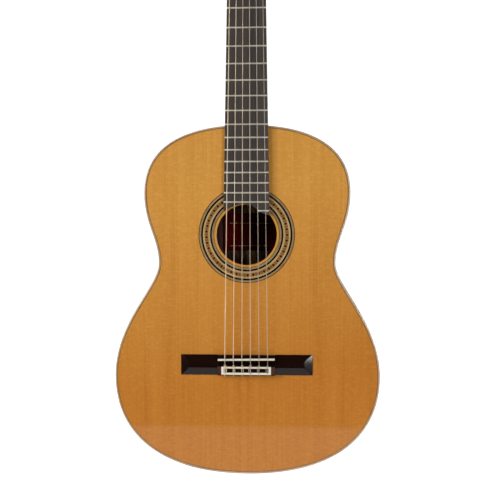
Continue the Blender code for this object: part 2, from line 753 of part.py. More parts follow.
def fret_profile(number):
    """Section of a fret's crown as (y, z), from its nut side to its bridge side."""
    top = SOUNDBOARD_Y - FRETBOARD_THICKNESS
    steps = ((0.5, top), (0.28, top - FRET_HEIGHT), (-0.28, top - FRET_HEIGHT), (-0.5, top))
    return [(y, fret_z(number) + offset * FRET_WIDTH) for offset, y in steps]


def make_fretboard(material):
    """The ebony board with its frets, cut to the curve of the soundhole at its end."""
    bottom = SOUNDBOARD_Y - GAP
    top = SOUNDBOARD_Y - FRETBOARD_THICKNESS
    profile = [(bottom, 355 * MM), (bottom, NUT_Z), (top, NUT_Z)]
    for number in range(1, FRET_COUNT):
        profile += fret_profile(number)
    profile.append((top, 355 * MM))
    sides = (-1, 1)
    rings = [[Vector((side * fretboard_half_width(z), y, z)) for y, z in profile] for side in sides]
    board = add_object("fretboard", loft(rings), material)
    curve = fretboard_end_curve()
    below = [(curve[-1][0], 340 * MM), (curve[0][0], 340 * MM)]
    cutter = slab(curve + below, below_front(-20 * MM), below_front(10 * MM))
    combine(board, add_object("fretboard_end_cutter", cutter), "DIFFERENCE")
    # The last fret lies on the tongue alone, under the treble strings
    edge = fretboard_half_width(fret_z(FRET_COUNT)) - 0.1 * MM
    section = [(top + 1 * MM, fret_z(FRET_COUNT)), *fret_profile(FRET_COUNT)]
    last = loft([[Vector((x, y, z)) for y, z in section] for x in (LAST_FRET_START, edge)])
    combine(board, add_object("last_fret_tool", last), "UNION")


def string_x(index, spread):
    """X of a string, from the bass side, where the six strings spread that wide."""
    return spread * (index / 5 - 0.5)


def make_nut(material):
    """The bone nut, with a groove for each string."""
    half = NUT_WIDTH / 2
    crown = nut_height() + 1.2 * MM
    top = [(-half, crown - 1.2 * MM)]
    for i in range(6):
        x = string_x(i, STRING_SPREAD_NUT)
        radius = STRING_DIAMETERS[i] / 2 + GAP
        floor = nut_height() - radius
        low = radius * 0.7
        top += [(x - radius, crown), (x - low, floor), (x + low, floor), (x + radius, crown)]
    top.append((half, crown - 1.2 * MM))
    polygon = [(half, GAP), (-half, GAP)] + top
    rings = [
        [Vector((x, SOUNDBOARD_Y - h, z)) for x, h in polygon]
        for z in (NUT_Z + GAP, NUT_Z + NUT_THICKNESS)
    ]
    add_object("nut", loft(rings), material)


# ================================================================================================
# Head
# ================================================================================================
def nut_height():
    """Height of the strings' axes above the neck's front face, at the nut."""
    return FRETBOARD_THICKNESS + FRET_HEIGHT + 0.9 * MM


def head_matrix():
    """The head's own frame: X across, Y along the head from the nut, Z out of its front."""
    along = Vector((0, math.sin(HEAD_ANGLE), math.cos(HEAD_ANGLE)))
    out = Vector((0, -math.cos(HEAD_ANGLE), math.sin(HEAD_ANGLE)))
    matrix = Matrix((Vector((1, 0, 0)), along, out)).transposed().to_4x4()
    matrix.translation = Vector((0, SOUNDBOARD_Y, NUT_Z + NUT_THICKNESS))
    return matrix


def head_outline():
    """Half of the head's outline as (x, distance along), from its foot to the crest."""
    base, wide = HEAD_HALF_WIDTH_BASE, HEAD_HALF_WIDTH
    curve = ((base, 6 * MM), (base, 16 * MM), (wide, 12 * MM), (wide, 26 * MM))
    flare = [bezier(*curve, k / 5) for k in range(6)]
    shoulder = (wide, HEAD_LENGTH - 26 * MM)
    neck_of_crest = (wide - 7 * MM, HEAD_LENGTH - 17 * MM)
    curve = (neck_of_crest, (18 * MM, HEAD_LENGTH - 17 * MM), (14 * MM, HEAD_LENGTH), (0, HEAD_LENGTH))
    crest = [bezier(*curve, k / 5) for k in range(6)]
    return [(base, -12 * MM), *flare, shoulder, (wide - 1 * MM, HEAD_LENGTH - 20 * MM), *crest]


def head_plate(back, front):
    """A layer of the head between two levels of its own frame."""
    half = head_outline()
    polygon = half + [(-x, u) for x, u in reversed(half[:-1])]
    return loft([[Vector((x, u, v)) for x, u in polygon] for v in (back, front)])


def cut_joint_and_slots(target):
    """Cut a head layer off square against the neck, and open the string slots with their ramps."""
    wedge = box((-60 * MM, -90 * MM, NUT_Z - 50 * MM), (60 * MM, 90 * MM, NUT_Z + NUT_THICKNESS + GAP))
    combine(target, add_object("head_joint_cutter", wedge), "DIFFERENCE")
    radius = (SLOT_OUTER - SLOT_INNER) / 2
    for side in (-1, 1):
        centre = side * (SLOT_OUTER + SLOT_INNER) / 2
        arc = [math.pi * k / 6 for k in range(7)]
        far = [(centre + radius * math.cos(a), SLOT_END - radius + radius * math.sin(a)) for a in arc]
        near = [(centre - radius * math.cos(a), SLOT_START + radius - radius * math.sin(a)) for a in arc]
        slot = loft([[Vector((x, u, v)) for x, u in far + near] for v in (-30 * MM, 20 * MM)])
        combine(target, add_object("slot_cutter", slot, matrix=head_matrix()), "DIFFERENCE")
        xs = (centre - radius, centre + radius)
        ramp = loft([[Vector((x, u, v)) for u, v in RAMP] for x in xs])
        combine(target, add_object("ramp_cutter", ramp, matrix=head_matrix()), "DIFFERENCE")


def cut_roller_bores(target):
    """Drill through each side rail, and on a little way into the middle rail."""
    step = SLOT_INNER + 0.5 * MM
    pin, body = PIN_RADIUS + RUNNING_GAP, ROLLER_RADIUS + RUNNING_GAP
    hole = ((2.2 * MM, pin), (step, pin), (step + 0.1 * MM, body), (HEAD_HALF_WIDTH + 5 * MM, body))
    for side in (-1, 1):
        for row in range(3):
            bore = turned([(side * x, r) for x, r in hole], ROLLER_SIDES)
            combine(target, add_object("bore_cutter", bore, matrix=roller_matrix(row)), "DIFFERENCE")


def make_head(wood, veneer_wood):
    """The slotted head and the veneer on its face."""
    head = add_object("head", head_plate(-HEAD_THICKNESS, 0), wood, head_matrix())
    veneer = add_object("head_veneer", head_plate(GAP, VENEER_THICKNESS), veneer_wood, head_matrix())
    cut_joint_and_slots(head)
    cut_joint_and_slots(veneer)
    cut_roller_bores(head)


# ================================================================================================
# Tuning machines
# ================================================================================================
def roller_matrix(row):
    """Frame of a roller: its axis is local X, and its local Y runs along the head."""
    place = Matrix.Translation((0, FIRST_ROLLER + row * ROLLER_SPACING, ROLLER_DEPTH))
    return head_matrix() @ place


def gear_outline(twist):
    """Points round the gear, with a gap between two teeth facing the worm."""
    points = []
    flanks = (
        (-1, PITCH_RADIUS - DEDENDUM, TOOTH_HALF + DEDENDUM * FLANK_SLOPE),
        (-1, PITCH_RADIUS + ADDENDUM, TOOTH_HALF - ADDENDUM * FLANK_SLOPE),
        (1, PITCH_RADIUS + ADDENDUM, TOOTH_HALF - ADDENDUM * FLANK_SLOPE),
        (1, PITCH_RADIUS - DEDENDUM, TOOTH_HALF + DEDENDUM * FLANK_SLOPE),
    )
    for tooth in range(GEAR_TEETH):
        middle = math.pi + 2 * math.pi * (tooth + 0.5) / GEAR_TEETH + twist
        for side, radius, half in flanks:
            angle = middle + side * half / PITCH_RADIUS
            points.append((radius * math.cos(angle), radius * math.sin(angle)))
    return points


def make_roller(number, side, row, string_index, material):
    """A roller with its gear, its journals and the turns of string wound on it."""
    middle = GEAR_X
    half = GEAR_THICKNESS / 2
    coil = winding_place(string_index)
    coil_radius = ROLLER_RADIUS + 2 * STRING_DIAMETERS[string_index]
    profile = [
        (2.6 * MM, PIN_RADIUS),
        (SLOT_INNER + 1.0 * MM, PIN_RADIUS),
        (SLOT_INNER + 1.05 * MM, ROLLER_RADIUS),
        (coil - WINDING_HALF, ROLLER_RADIUS),
        (coil - WINDING_HALF + 0.3 * MM, coil_radius),
        (coil + WINDING_HALF - 0.3 * MM, coil_radius),
        (coil + WINDING_HALF, ROLLER_RADIUS),
        (HEAD_HALF_WIDTH - 0.2 * MM, ROLLER_RADIUS),
        (HEAD_HALF_WIDTH - 0.1 * MM, JOURNAL_RADIUS),
        (middle + half - 0.4 * MM, JOURNAL_RADIUS),
    ]
    roller = add_object(
        f"roller_{number}", turned([(side * x, r) for x, r in profile], ROLLER_SIDES), material
    )
    roller.matrix_world = roller_matrix(row)
    lead = WORM_PITCH / (2 * math.pi * WORM_PITCH_RADIUS)
    rings = []
    for offset in (-half, half):
        x = side * middle + offset
        rings.append([Vector((x, y, z)) for y, z in gear_outline(lead * offset / PITCH_RADIUS)])
    gear = add_object(f"gear_tool_{number}", loft(rings))
    gear.matrix_world = roller_matrix(row)
    combine(roller, gear, "UNION")


def worm_matrix(side, row):
    """Frame of a worm: its axis is local Z, out of the head's front, and X faces the gear."""
    along = FIRST_ROLLER + row * ROLLER_SPACING - PITCH_RADIUS - WORM_PITCH_RADIUS
    place = Matrix.Translation((side * GEAR_X, along, 0))
    quarter_turn = Matrix.Rotation(math.pi / 2, 4, "Z")  # local X then runs along the head
    return head_matrix() @ place @ quarter_turn


def circle_points(radius, height, squash=1.0):
    """Points of one level of the worm's shaft or button."""
    angles = [2 * math.pi * j / WORM_COLUMNS for j in range(WORM_COLUMNS)]
    return [Vector((radius * math.cos(a), radius * squash * math.sin(a), height)) for a in angles]


def worm_columns():
    """For each direction round the worm, the (radius, height) steps up the thread."""
    crest_radius = WORM_PITCH_RADIUS + ADDENDUM
    root_radius = WORM_PITCH_RADIUS - ADDENDUM - 0.1 * MM
    root_half = TOOTH_HALF + (ADDENDUM + 0.1 * MM) * FLANK_SLOPE
    crest_half = TOOTH_HALF - ADDENDUM * FLANK_SLOPE
    columns = []
    for j in range(WORM_COLUMNS):
        column = []
        for turn in range(WORM_TURNS):
            centre = ROLLER_DEPTH + WORM_PITCH * (turn - (WORM_TURNS - 1) / 2 + j / WORM_COLUMNS)
            for offset, radius in (
                (-root_half, root_radius),
                (-crest_half, crest_radius),
                (crest_half, crest_radius),
                (root_half, root_radius),
            ):
                column.append((radius, centre + offset))
        columns.append(column)
    return columns


def make_worm_and_button(number, side, row, material):
    """A worm on its shaft, with the button that turns it behind the head."""
    bm = bmesh.new()
    first = ROLLER_DEPTH - WORM_PITCH * (WORM_TURNS + 1) / 2 + 0.2 * MM
    last = ROLLER_DEPTH + WORM_PITCH * (WORM_TURNS + 1) / 2
    root = WORM_PITCH_RADIUS - ADDENDUM - 0.1 * MM
    end = BUTTON_START - BUTTON_LENGTH
    wide, thin = BUTTON_HALF_WIDTH, BUTTON_HALF_THICKNESS / BUTTON_HALF_WIDTH
    below = [
        circle_points(wide * 0.55, end, thin),
        circle_points(wide * 0.9, end + 2 * MM, thin),
        circle_points(wide, end + 5 * MM, thin),
        circle_points(wide * 0.8, end + 10 * MM, thin * 1.1),
        circle_points(wide * 0.4, BUTTON_START - 1 * MM, 0.9),
        circle_points(SHAFT_RADIUS * 1.8, BUTTON_START),
        circle_points(SHAFT_RADIUS, BUTTON_START + 0.5 * MM),
        circle_points(SHAFT_RADIUS, first - 0.6 * MM),
        circle_points(root, first),
    ]
    above = [
        circle_points(root, last),
        circle_points(SHAFT_RADIUS, last + 0.6 * MM),
        circle_points(SHAFT_RADIUS, last + LUG_THICKNESS + 1.2 * MM),
    ]
    low_rows = [[bm.verts.new(p) for p in ring] for ring in below]
    high_rows = [[bm.verts.new(p) for p in ring] for ring in above]
    for rows in (low_rows, high_rows):
        for lower, upper in zip(rows, rows[1:]):
            for i in range(WORM_COLUMNS):
                j = (i + 1) % WORM_COLUMNS
                bm.faces.new((lower[i], lower[j], upper[j], upper[i]))
    bm.faces.new(low_rows[0])
    bm.faces.new(high_rows[-1])
    columns = []
    for j, column in enumerate(worm_columns()):
        angle = 2 * math.pi * j / WORM_COLUMNS
        columns.append([bm.verts.new((r * math.cos(angle), r * math.sin(angle), h)) for r, h in column])
    for j in range(WORM_COLUMNS - 1):
        here = [low_rows[-1][j], *columns[j], high_rows[0][j]]
        there = [low_rows[-1][j + 1], *columns[j + 1], high_rows[0][j + 1]]
        for k in range(len(here) - 1):
            bm.faces.new((here[k], there[k], there[k + 1], here[k + 1]))
    # Once round, each turn of the thread meets the next one up
    here, there = columns[-1], columns[0]
    turned_up = [*there[4:], high_rows[0][0]]
    for k in range(len(here) - 4):
        bm.faces.new((here[k], turned_up[k], turned_up[k + 1], here[k + 1]))
    bm.faces.new([low_rows[-1][-1], low_rows[-1][0], *there[:5], here[0]])
    bm.faces.new([*here[-4:], high_rows[0][-1], high_rows[0][0]])
    worm = add_object(f"worm_and_button_{number}", bm, material)
    worm.matrix_world = worm_matrix(side, row)


def make_plate(name, side, material):
    """The plate on the head's side that carries three rollers and three worms."""
    near = HEAD_HALF_WIDTH + GAP
    far = near + PLATE_THICKNESS
    low_u = FIRST_ROLLER - PLATE_MARGINS[0]
    high_u = FIRST_ROLLER + 2 * ROLLER_SPACING + PLATE_MARGINS[1]
    middle = ROLLER_DEPTH
    corners = ((low_u, middle - PLATE_HEIGHT / 2), (high_u, middle + PLATE_HEIGHT / 2))
    xs = sorted((side * near, side * far))
    plate = add_object(
        name, box((xs[0], corners[0][0], corners[0][1]), (xs[1], corners[1][0], corners[1][1])), material
    )
    plate.matrix_world = head_matrix()
    reach = sorted((side * (far - 0.4 * MM), side * (GEAR_X + 2.2 * MM)))
    thread_half = WORM_PITCH * (WORM_TURNS + 1) / 2 + 0.9 * MM
    for row in range(3):
        u = FIRST_ROLLER + row * ROLLER_SPACING - PITCH_RADIUS - WORM_PITCH_RADIUS
        for end in (-1, 1):
            inner = middle + end * thread_half
            vs = sorted((inner, inner + end * LUG_THICKNESS))
            lug = box((reach[0], u - LUG_HALF_WIDTH, vs[0]), (reach[1], u + LUG_HALF_WIDTH, vs[1]))
            tool = add_object(f"{name}_lug_tool_{row}_{end}", lug)
            tool.matrix_world = head_matrix()
            combine(plate, tool, "UNION")
    for row in range(3):
        reach_x = (side * (near - 2 * MM), side * (far + 1 * MM))
        hole = turned([(x, JOURNAL_RADIUS + RUNNING_GAP) for x in reach_x], ROLLER_SIDES)
        journal = add_object(f"{name}_journal_cutter_{row}", hole)
        journal.matrix_world = roller_matrix(row)
        combine(plate, journal, "DIFFERENCE")
        rings = [circle_points(SHAFT_RADIUS + RUNNING_GAP, height) for height in (-30 * MM, 10 * MM)]
        shaft = add_object(f"{name}_shaft_cutter_{row}", loft(rings))
        shaft.matrix_world = worm_matrix(side, row)
        combine(plate, shaft, "DIFFERENCE")


# Strings 1 to 6 from the treble side; the outer strings use the rollers nearest the nut
TUNERS = {1: (1, 0), 2: (1, 1), 3: (1, 2), 4: (-1, 2), 5: (-1, 1), 6: (-1, 0)}
WINDING_HALF = 2 * MM


def winding_place(string_index):
    """Distance of the windings' middle from the centre line, for a string from the bass side."""
    return {0: 18, 1: 14.5, 2: 12, 3: 12, 4: 14.5, 5: 18}[string_index] * MM


def make_tuners(metal, brass):
    """Both machine heads: plates, rollers with gears, and worms with buttons."""
    make_plate("tuner_plate_treble", 1, metal)
    make_plate("tuner_plate_bass", -1, metal)
    for number, (side, row) in TUNERS.items():
        make_roller(number, side, row, 6 - number, brass)
        make_worm_and_button(number, side, row, metal)


# ================================================================================================
# Bridge, saddle and strings
# ================================================================================================
def above_top(height):
    """Y of a level above the soundboard."""
    return SOUNDBOARD_Y - height


def make_bridge(material):
    """The bridge: two bevelled wings and the middle with the saddle slot and tie block."""
    rear, front = BRIDGE_REAR, BRIDGE_FRONT
    half = BRIDGE_HALF_LENGTH
    levels = ((GAP, 0.0), (1.2 * MM, 0.0), (WING_HEIGHT, WING_BEVEL))
    rings = []
    for height, inset in levels:
        y = above_top(height)
        corners = ((-half + inset, rear + inset), (half - inset, rear + inset))
        corners += ((half - inset, front - inset), (-half + inset, front - inset))
        rings.append([Vector((x, y, z)) for x, z in corners])
    bridge = add_object("bridge", loft(rings), material)
    block = SADDLE_BLOCK_HEIGHT
    saddle_rear = SADDLE_Z - SADDLE_THICKNESS / 2 - 1.8 * MM
    profile = [
        (front - 0.2 * MM, 0.6 * MM),
        (front - 0.2 * MM, block - 1.2 * MM),
        (front - 1.4 * MM, block),
        (saddle_rear, block),
        (TIE_BLOCK_FRONT + 2.5 * MM, TIE_CHANNEL_HEIGHT),
        (TIE_BLOCK_FRONT, TIE_CHANNEL_HEIGHT),
        (TIE_BLOCK_FRONT, TIE_BLOCK_HEIGHT),
        (rear + 0.2 * MM, TIE_BLOCK_HEIGHT),
        (rear + 0.2 * MM, 0.6 * MM),
    ]
    ends = (-CENTRE_HALF_LENGTH, CENTRE_HALF_LENGTH)
    rings = [[Vector((x, above_top(h), z)) for z, h in profile] for x in ends]
    combine(bridge, add_object("bridge_middle_tool", loft(rings)), "UNION")
    slot_half = SADDLE_THICKNESS / 2 + GAP
    slot = box(
        (-CENTRE_HALF_LENGTH - 2 * MM, -20 * MM, -slot_half),
        (CENTRE_HALF_LENGTH + 2 * MM, -SADDLE_SLOT_HEIGHT, slot_half),
    )
    combine(bridge, add_object("saddle_slot_cutter", slot, matrix=saddle_matrix()), "DIFFERENCE")
    for i in range(6):
        x = string_x(i, STRING_SPREAD_SADDLE)
        radius = STRING_DIAMETERS[i] / 2 + TIE_HOLE_CLEARANCE
        y = above_top(TIE_HOLE_HEIGHT)
        angles = [2 * math.pi * k / 8 for k in range(8)]
        circle = [(x + radius * math.cos(a), y + radius * math.sin(a)) for a in angles]
        ends = (BRIDGE_REAR - 3 * MM, TIE_BLOCK_FRONT + 1 * MM)
        rings = [[Vector((px, py, z)) for px, py in circle] for z in ends]
        combine(bridge, add_object(f"tie_hole_cutter_{i}", loft(rings)), "DIFFERENCE")


def saddle_matrix():
    """Frame of the saddle: turned a little, so that the bass strings are longer."""
    turn = Matrix.Rotation(-SADDLE_SLANT, 4, "Y")
    return Matrix.Translation((0, SOUNDBOARD_Y, SADDLE_Z)) @ turn


def make_saddle(material):
    """The bone saddle with a rounded crown."""
    half = SADDLE_THICKNESS / 2
    low, high = SADDLE_SLOT_HEIGHT + GAP, SADDLE_HEIGHT
    angles = [math.pi * k / 6 for k in range(7)]
    crown = [(half * math.cos(a), high - half + half * math.sin(a)) for a in angles]
    profile = [(half, low), *crown, (-half, low)]
    ends = (-CENTRE_HALF_LENGTH + 0.5 * MM, CENTRE_HALF_LENGTH - 0.5 * MM)
    rings = [[Vector((x, -h, z)) for z, h in profile] for x in ends]
    add_object("saddle", loft(rings), material, saddle_matrix())


def make_tie_trim(material):
    """The bone frame that guards the tie block's edges."""
    outer = (TRIM_HALF_LENGTH, BRIDGE_REAR + 0.2 * MM, TIE_BLOCK_FRONT)
    inner = (TRIM_HALF_LENGTH - TRIM_END_WIDTH, outer[1] + TRIM_REAR_WIDTH, outer[2] - TRIM_FRONT_WIDTH)
    lines = []
    for half, low, high in (outer, inner):
        lines.append([(-half, low), (half, low), (half, high), (-half, high)])
    bottom = TIE_BLOCK_HEIGHT + GAP
    front = below_front(-bottom - TRIM_THICKNESS)
    add_object("tie_block_trim", band(*lines, front, below_front(-bottom), closed=True), material)


def string_route(index):
    """Points of a string: its tie over the block, the saddle, the nut and the roller's top."""
    radius = STRING_DIAMETERS[index] / 2
    x = string_x(index, STRING_SPREAD_SADDLE)
    over_trim = TIE_BLOCK_HEIGHT + GAP + TRIM_THICKNESS + radius + GAP
    saddle_z = SADDLE_Z + x * math.tan(SADDLE_SLANT)
    saddle_top = SADDLE_HEIGHT + radius + GAP
    behind = BRIDGE_REAR - radius - 0.9 * MM
    tie = [
        (TIE_BLOCK_FRONT + radius + 1.0 * MM, over_trim - 2.6 * MM),
        (TIE_BLOCK_FRONT + 0.2 * MM, over_trim),
        (BRIDGE_REAR + 0.6 * MM, over_trim),
        (behind, over_trim - 1.6 * MM),
        (behind, TIE_HOLE_HEIGHT + 1.4 * MM),
        (BRIDGE_REAR - 0.1 * MM, TIE_HOLE_HEIGHT),
        (TIE_BLOCK_FRONT + 0.6 * MM, TIE_HOLE_HEIGHT),
        (saddle_z - 2.0 * MM, saddle_top - 0.9 * MM),
        (saddle_z, saddle_top),
    ]
    points = [Vector((x, above_top(h), z)) for z, h in tie]
    nut_x = string_x(index, STRING_SPREAD_NUT)
    points.append(Vector((nut_x, above_top(nut_height() + 0.05 * MM), NUT_Z + 0.8 * MM)))
    points.append(Vector((nut_x, above_top(nut_height() - 0.05 * MM), NUT_Z + NUT_THICKNESS - 0.6 * MM)))
    number = 6 - index
    side, row = TUNERS[number]
    reach = ROLLER_RADIUS + 2 * STRING_DIAMETERS[index] + radius + GAP
    centre = roller_matrix(row).translation
    start = points[-1]
    to_start = Vector((0, start.y - centre.y, start.z - centre.z))
    distance = to_start.length
    angle = math.acos(reach / distance)
    # The string meets the roller where it just touches the windings, on the front side
    direction = to_start.normalized()
    turned_direction = Matrix.Rotation(-angle, 3, "X") @ direction
    touch = Vector((side * winding_place(index), centre.y, centre.z)) + turned_direction * reach
    points.append(touch)
    return points


def make_strings(nylon, wound):
    """Six strings, from their ties at the bridge to their rollers."""
    for index in range(6):
        material = wound if index < 3 else nylon
        route = string_route(index)
        add_object(f"string_{6 - index}", tube(route, STRING_DIAMETERS[index] / 2), material)


# ================================================================================================
def main():
    clear_scene()
    cedar = make_material("cedar", (0.60, 0.30, 0.09), 0.25)
    rosewood = make_material("rosewood", (0.10, 0.035, 0.02), 0.25)
    spruce = make_material("spruce", (0.72, 0.52, 0.30), 0.6)
    mahogany = make_material("mahogany", (0.33, 0.14, 0.06), 0.35)
    ebony = make_material("ebony", (0.03, 0.026, 0.026), 0.4)
    bone = make_material("bone", (0.86, 0.80, 0.68), 0.35)
    mosaic = make_material("mosaic", (0.45, 0.30, 0.14), 0.35)
    paper = make_material("paper", (0.10, 0.02, 0.02), 0.8)
    steel = make_material("gilt", (0.83, 0.64, 0.30), 0.25, 1.0)
    brass = make_material("brass", (0.70, 0.52, 0.25), 0.35, 1.0)
    nylon = make_material("nylon", (0.80, 0.76, 0.68), 0.2)
    wound = make_material("silver_wound", (0.75, 0.74, 0.72), 0.3, 1.0)

    make_soundboard(cedar)
    make_rosette(mosaic)
    make_soundhole_patch(spruce)
    make_back(rosewood)
    make_sides(rosewood, spruce, rosewood)
    make_bindings(rosewood)
    make_tail_block(mahogany)
    make_fan_braces(spruce)
    make_harmonic_bars(spruce)
    make_back_braces(mahogany)
    make_back_strip(spruce)
    make_label(paper)
    make_neck(mahogany)
    make_heel_cap(rosewood)
    make_fretboard(ebony)
    make_nut(bone)
    make_head(mahogany, rosewood)
    make_tuners(steel, brass)
    make_bridge(rosewood)
    make_saddle(bone)
    make_tie_trim(bone)
    make_strings(nylon, wound)


main()
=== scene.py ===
"""Looks of the classical guitar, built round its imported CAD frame.

Frame: +Z runs from the tail to the head, -Y is the front and +X the treble side, in metres.
The driving dimensions repeat the CAD model's, and check_frame_sizes() compares them with its boxes.
"""

import math

import bmesh
import bpy
from mathutils import Matrix, Vector
from mathutils.geometry import tessellate_polygon


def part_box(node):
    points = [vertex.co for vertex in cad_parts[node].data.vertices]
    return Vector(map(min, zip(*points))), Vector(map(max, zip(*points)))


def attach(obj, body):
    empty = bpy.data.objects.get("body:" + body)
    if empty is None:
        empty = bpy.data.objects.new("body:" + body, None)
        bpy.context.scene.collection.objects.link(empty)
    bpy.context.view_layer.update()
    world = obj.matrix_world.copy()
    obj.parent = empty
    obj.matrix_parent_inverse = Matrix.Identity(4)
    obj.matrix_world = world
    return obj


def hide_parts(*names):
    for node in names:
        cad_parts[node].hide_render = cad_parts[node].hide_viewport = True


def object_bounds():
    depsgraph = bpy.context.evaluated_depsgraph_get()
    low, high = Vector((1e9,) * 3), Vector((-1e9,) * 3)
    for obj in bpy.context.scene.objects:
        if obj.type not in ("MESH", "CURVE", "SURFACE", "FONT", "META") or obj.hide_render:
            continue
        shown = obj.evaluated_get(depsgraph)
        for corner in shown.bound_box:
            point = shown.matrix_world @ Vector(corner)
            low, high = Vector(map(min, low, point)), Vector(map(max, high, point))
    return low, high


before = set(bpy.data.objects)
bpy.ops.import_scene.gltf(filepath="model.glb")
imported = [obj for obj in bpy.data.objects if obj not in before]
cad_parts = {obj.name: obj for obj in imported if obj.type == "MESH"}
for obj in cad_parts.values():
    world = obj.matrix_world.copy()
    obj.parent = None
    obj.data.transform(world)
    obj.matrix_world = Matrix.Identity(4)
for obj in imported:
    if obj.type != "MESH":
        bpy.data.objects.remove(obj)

cad_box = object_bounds()
MM = 0.001
TAU = 2 * math.pi


def mm(*values):
    """Lengths given in millimetres, in metres. Pairs stay pairs."""
    return tuple(mm(*value) if isinstance(value, tuple) else value * MM for value in values)


SIDES = ((1, "treble"), (-1, "bass"))
GAP = 0.05 * MM  # a hair's breadth, where two faces must not lie in each other

# ---- Scale and strings
SCALE_LENGTH = 650 * MM
BODY_LENGTH = 487 * MM
NUT_Z = BODY_LENGTH + SCALE_LENGTH / 2
SADDLE_Z = NUT_Z - SCALE_LENGTH - 2 * MM
STRING_SPREAD_NUT = 42.5 * MM
STRING_SPREAD_SADDLE = 59.5 * MM
STRING_DIAMETERS = mm(1.12, 0.92, 0.76, 1.04, 0.84, 0.72)  # bass E to treble E

# ---- Body
FRONT_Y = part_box("soundboard")[0].y
TAIL_DEPTH = -2 * FRONT_Y
HEEL_DEPTH = 90 * MM
BACK_ARCH = 3 * MM
BACK_RADIUS = 3.6
TOP_THICKNESS = 2.3 * MM
BACK_THICKNESS = 2.6 * MM
RIB_THICKNESS = 2 * MM
# The half outline's widest and narrowest places (x, z), and the reach of its curves there
LOWER_BOUT = mm(185.1, 136.8)
WAIST = mm(123.5, 293.9)
UPPER_BOUT = mm(144.3, 392.8)
TAIL_HANDLE = 122.7 * MM
LOWER_HANDLES = mm(82.8, 74.2)
WAIST_HANDLES = mm(32.3, 34.1)
UPPER_HANDLES = mm(43.8, 60.5)
SHOULDER_HANDLE = 94.9 * MM
OUTLINE_STEPS = 30  # in each of the four pieces of the half outline
BINDING_WIDTH = 2.3 * MM
BINDING_HEIGHT = 6 * MM
BINDING_CORNER = 1.1 * MM
PURFLING = (("dark", 0.5 * MM), ("light", 0.3 * MM), ("dark", 0.5 * MM))
PURFLING_DEPTH = 1.6 * MM
INNER_EDGE = sum(width for _, width in PURFLING) + BINDING_WIDTH
SIDE_LINES = ("light", "dark")
SIDE_LINE = 0.5 * MM
TAIL_GAP = 8.9 * MM  # half of what the ribs leave open for the end graft
HEEL_GAP = 12.3 * MM  # and under the heel
BACK_INLAY = 1.3 * MM
HOLE_Z = 333.5 * MM
HOLE_RADIUS = 42.2 * MM
HOLE_SEGMENTS = 180
ROSETTE_INNER = 45.3 * MM
ROSETTE_OUTER = 67.4 * MM
ROSETTE_DEPTH = 1 * MM
# Rings of the rosette from the outside in: (inner radius in mm, colour)
ROSETTE_RINGS = (
    (66.3, "dark"),
    (63.8, "grey"),
    (61.3, "black"),
    (60.0, "cream"),
    (52.9, "mosaic"),
    (51.3, "cream"),
    (48.9, "black"),
    (46.4, "grey"),
    (45.3, "olive"),
)
MOSAIC_REPEATS = 45
MOSAIC_COLUMNS = 10
MOSAIC_ROWS = 7
TILES = ("inlay_cream", "tile_dark", "tile_mid", "tile_tan")
CREAM_TILE, DARK_TILE, BROWN_TILE, TAN_TILE = range(4)
LABEL_BOTTOM = 3 * MM
LABEL_RULES = mm(6.6, 40)
LABEL_RULE_HALF = 31 * MM

# ---- Neck and head
NUT_WIDTH = 50 * MM
WIDTH_AT_BODY = 60 * MM
BOARD_THICKNESS = 6 * MM
FRET_COUNT = 20
FRET_WIDTH = 2.2 * MM
FRET_HEIGHT = 1.0 * MM
NUT_HEIGHT = BOARD_THICKNESS + FRET_HEIGHT + 0.9 * MM
LAST_FRET_START = 15.5 * MM
NECK_DEPTH_NUT = 15.5 * MM
NECK_DEPTH_BODY = 18 * MM
NECK_ROUNDNESS = 2.5
HEEL_ROUNDNESS = 1.7
HEAD_SQUARENESS = 14
CAP_THICKNESS = 3 * MM
CAP_LENGTH = 27 * MM
HEEL_TAPER = 24 * MM
HEEL_FLOOR = HEEL_DEPTH - CAP_THICKNESS - 0.15 * MM
HEEL_CURVE = 62 * MM
BLOCK_HALF_WIDTH = 33 * MM
BLOCK_LENGTH = 30 * MM
HEAD_ANGLE = math.radians(15)
HEAD_LENGTH = 178 * MM
HEAD_HALF_WIDTH = 36 * MM
HEAD_THICKNESS = 17.5 * MM
HEAD_LINE = 0.6 * MM
VENEER_THICKNESS = 2.5 * MM
NUT_THICKNESS = 5 * MM
SLOT_INNER = 6.5 * MM
SLOT_OUTER = 22.5 * MM
SLOT_START = 30 * MM
SLOT_END = 134 * MM
RAMP = mm((9, 4), (42, -5.5), (42, 20), (9, 20))

# ---- Tuning machines
ROLLER_SPACING = 35 * MM
FIRST_ROLLER = 46 * MM
ROLLER_DEPTH = -7.5 * MM
ROLLER_RADIUS = 5 * MM
JOURNAL_RADIUS = 3 * MM
PIN_RADIUS = 2.4 * MM
PLATE_THICKNESS = 1.2 * MM
PLATE_HEIGHT = 16 * MM
PLATE_MARGINS = mm(22, 14)
PLATE_FACE = HEAD_HALF_WIDTH + 0.3 * MM + PLATE_THICKNESS
GEAR_TEETH = 14
TOOTH_MODULE = 0.9 * MM
PITCH_RADIUS = GEAR_TEETH * TOOTH_MODULE / 2
WORM_PITCH = math.pi * TOOTH_MODULE
WORM_PITCH_RADIUS = 2.4 * MM
ADDENDUM = 0.65 * MM
DEDENDUM = 0.85 * MM
TOOTH_HALF = 0.58 * MM
FLANK_SLOPE = math.tan(math.radians(20))
GEAR_THICKNESS = 4 * MM
GEAR_X = HEAD_HALF_WIDTH + 5 * MM
WORM_TURNS = 3
WORM_HALF = WORM_PITCH * (WORM_TURNS + 1) / 2
SHAFT_RADIUS = 1.4 * MM
LUG_THICKNESS = 2 * MM
LUG_HALF_WIDTH = 3.2 * MM
LUG_END = GEAR_X + 2.2 * MM
BUTTON_LENGTH = 15 * MM
BUTTON_HALF_WIDTH = 9.5 * MM
BUTTON_HALF_THICKNESS = 4.5 * MM
BUTTON_START = -24 * MM
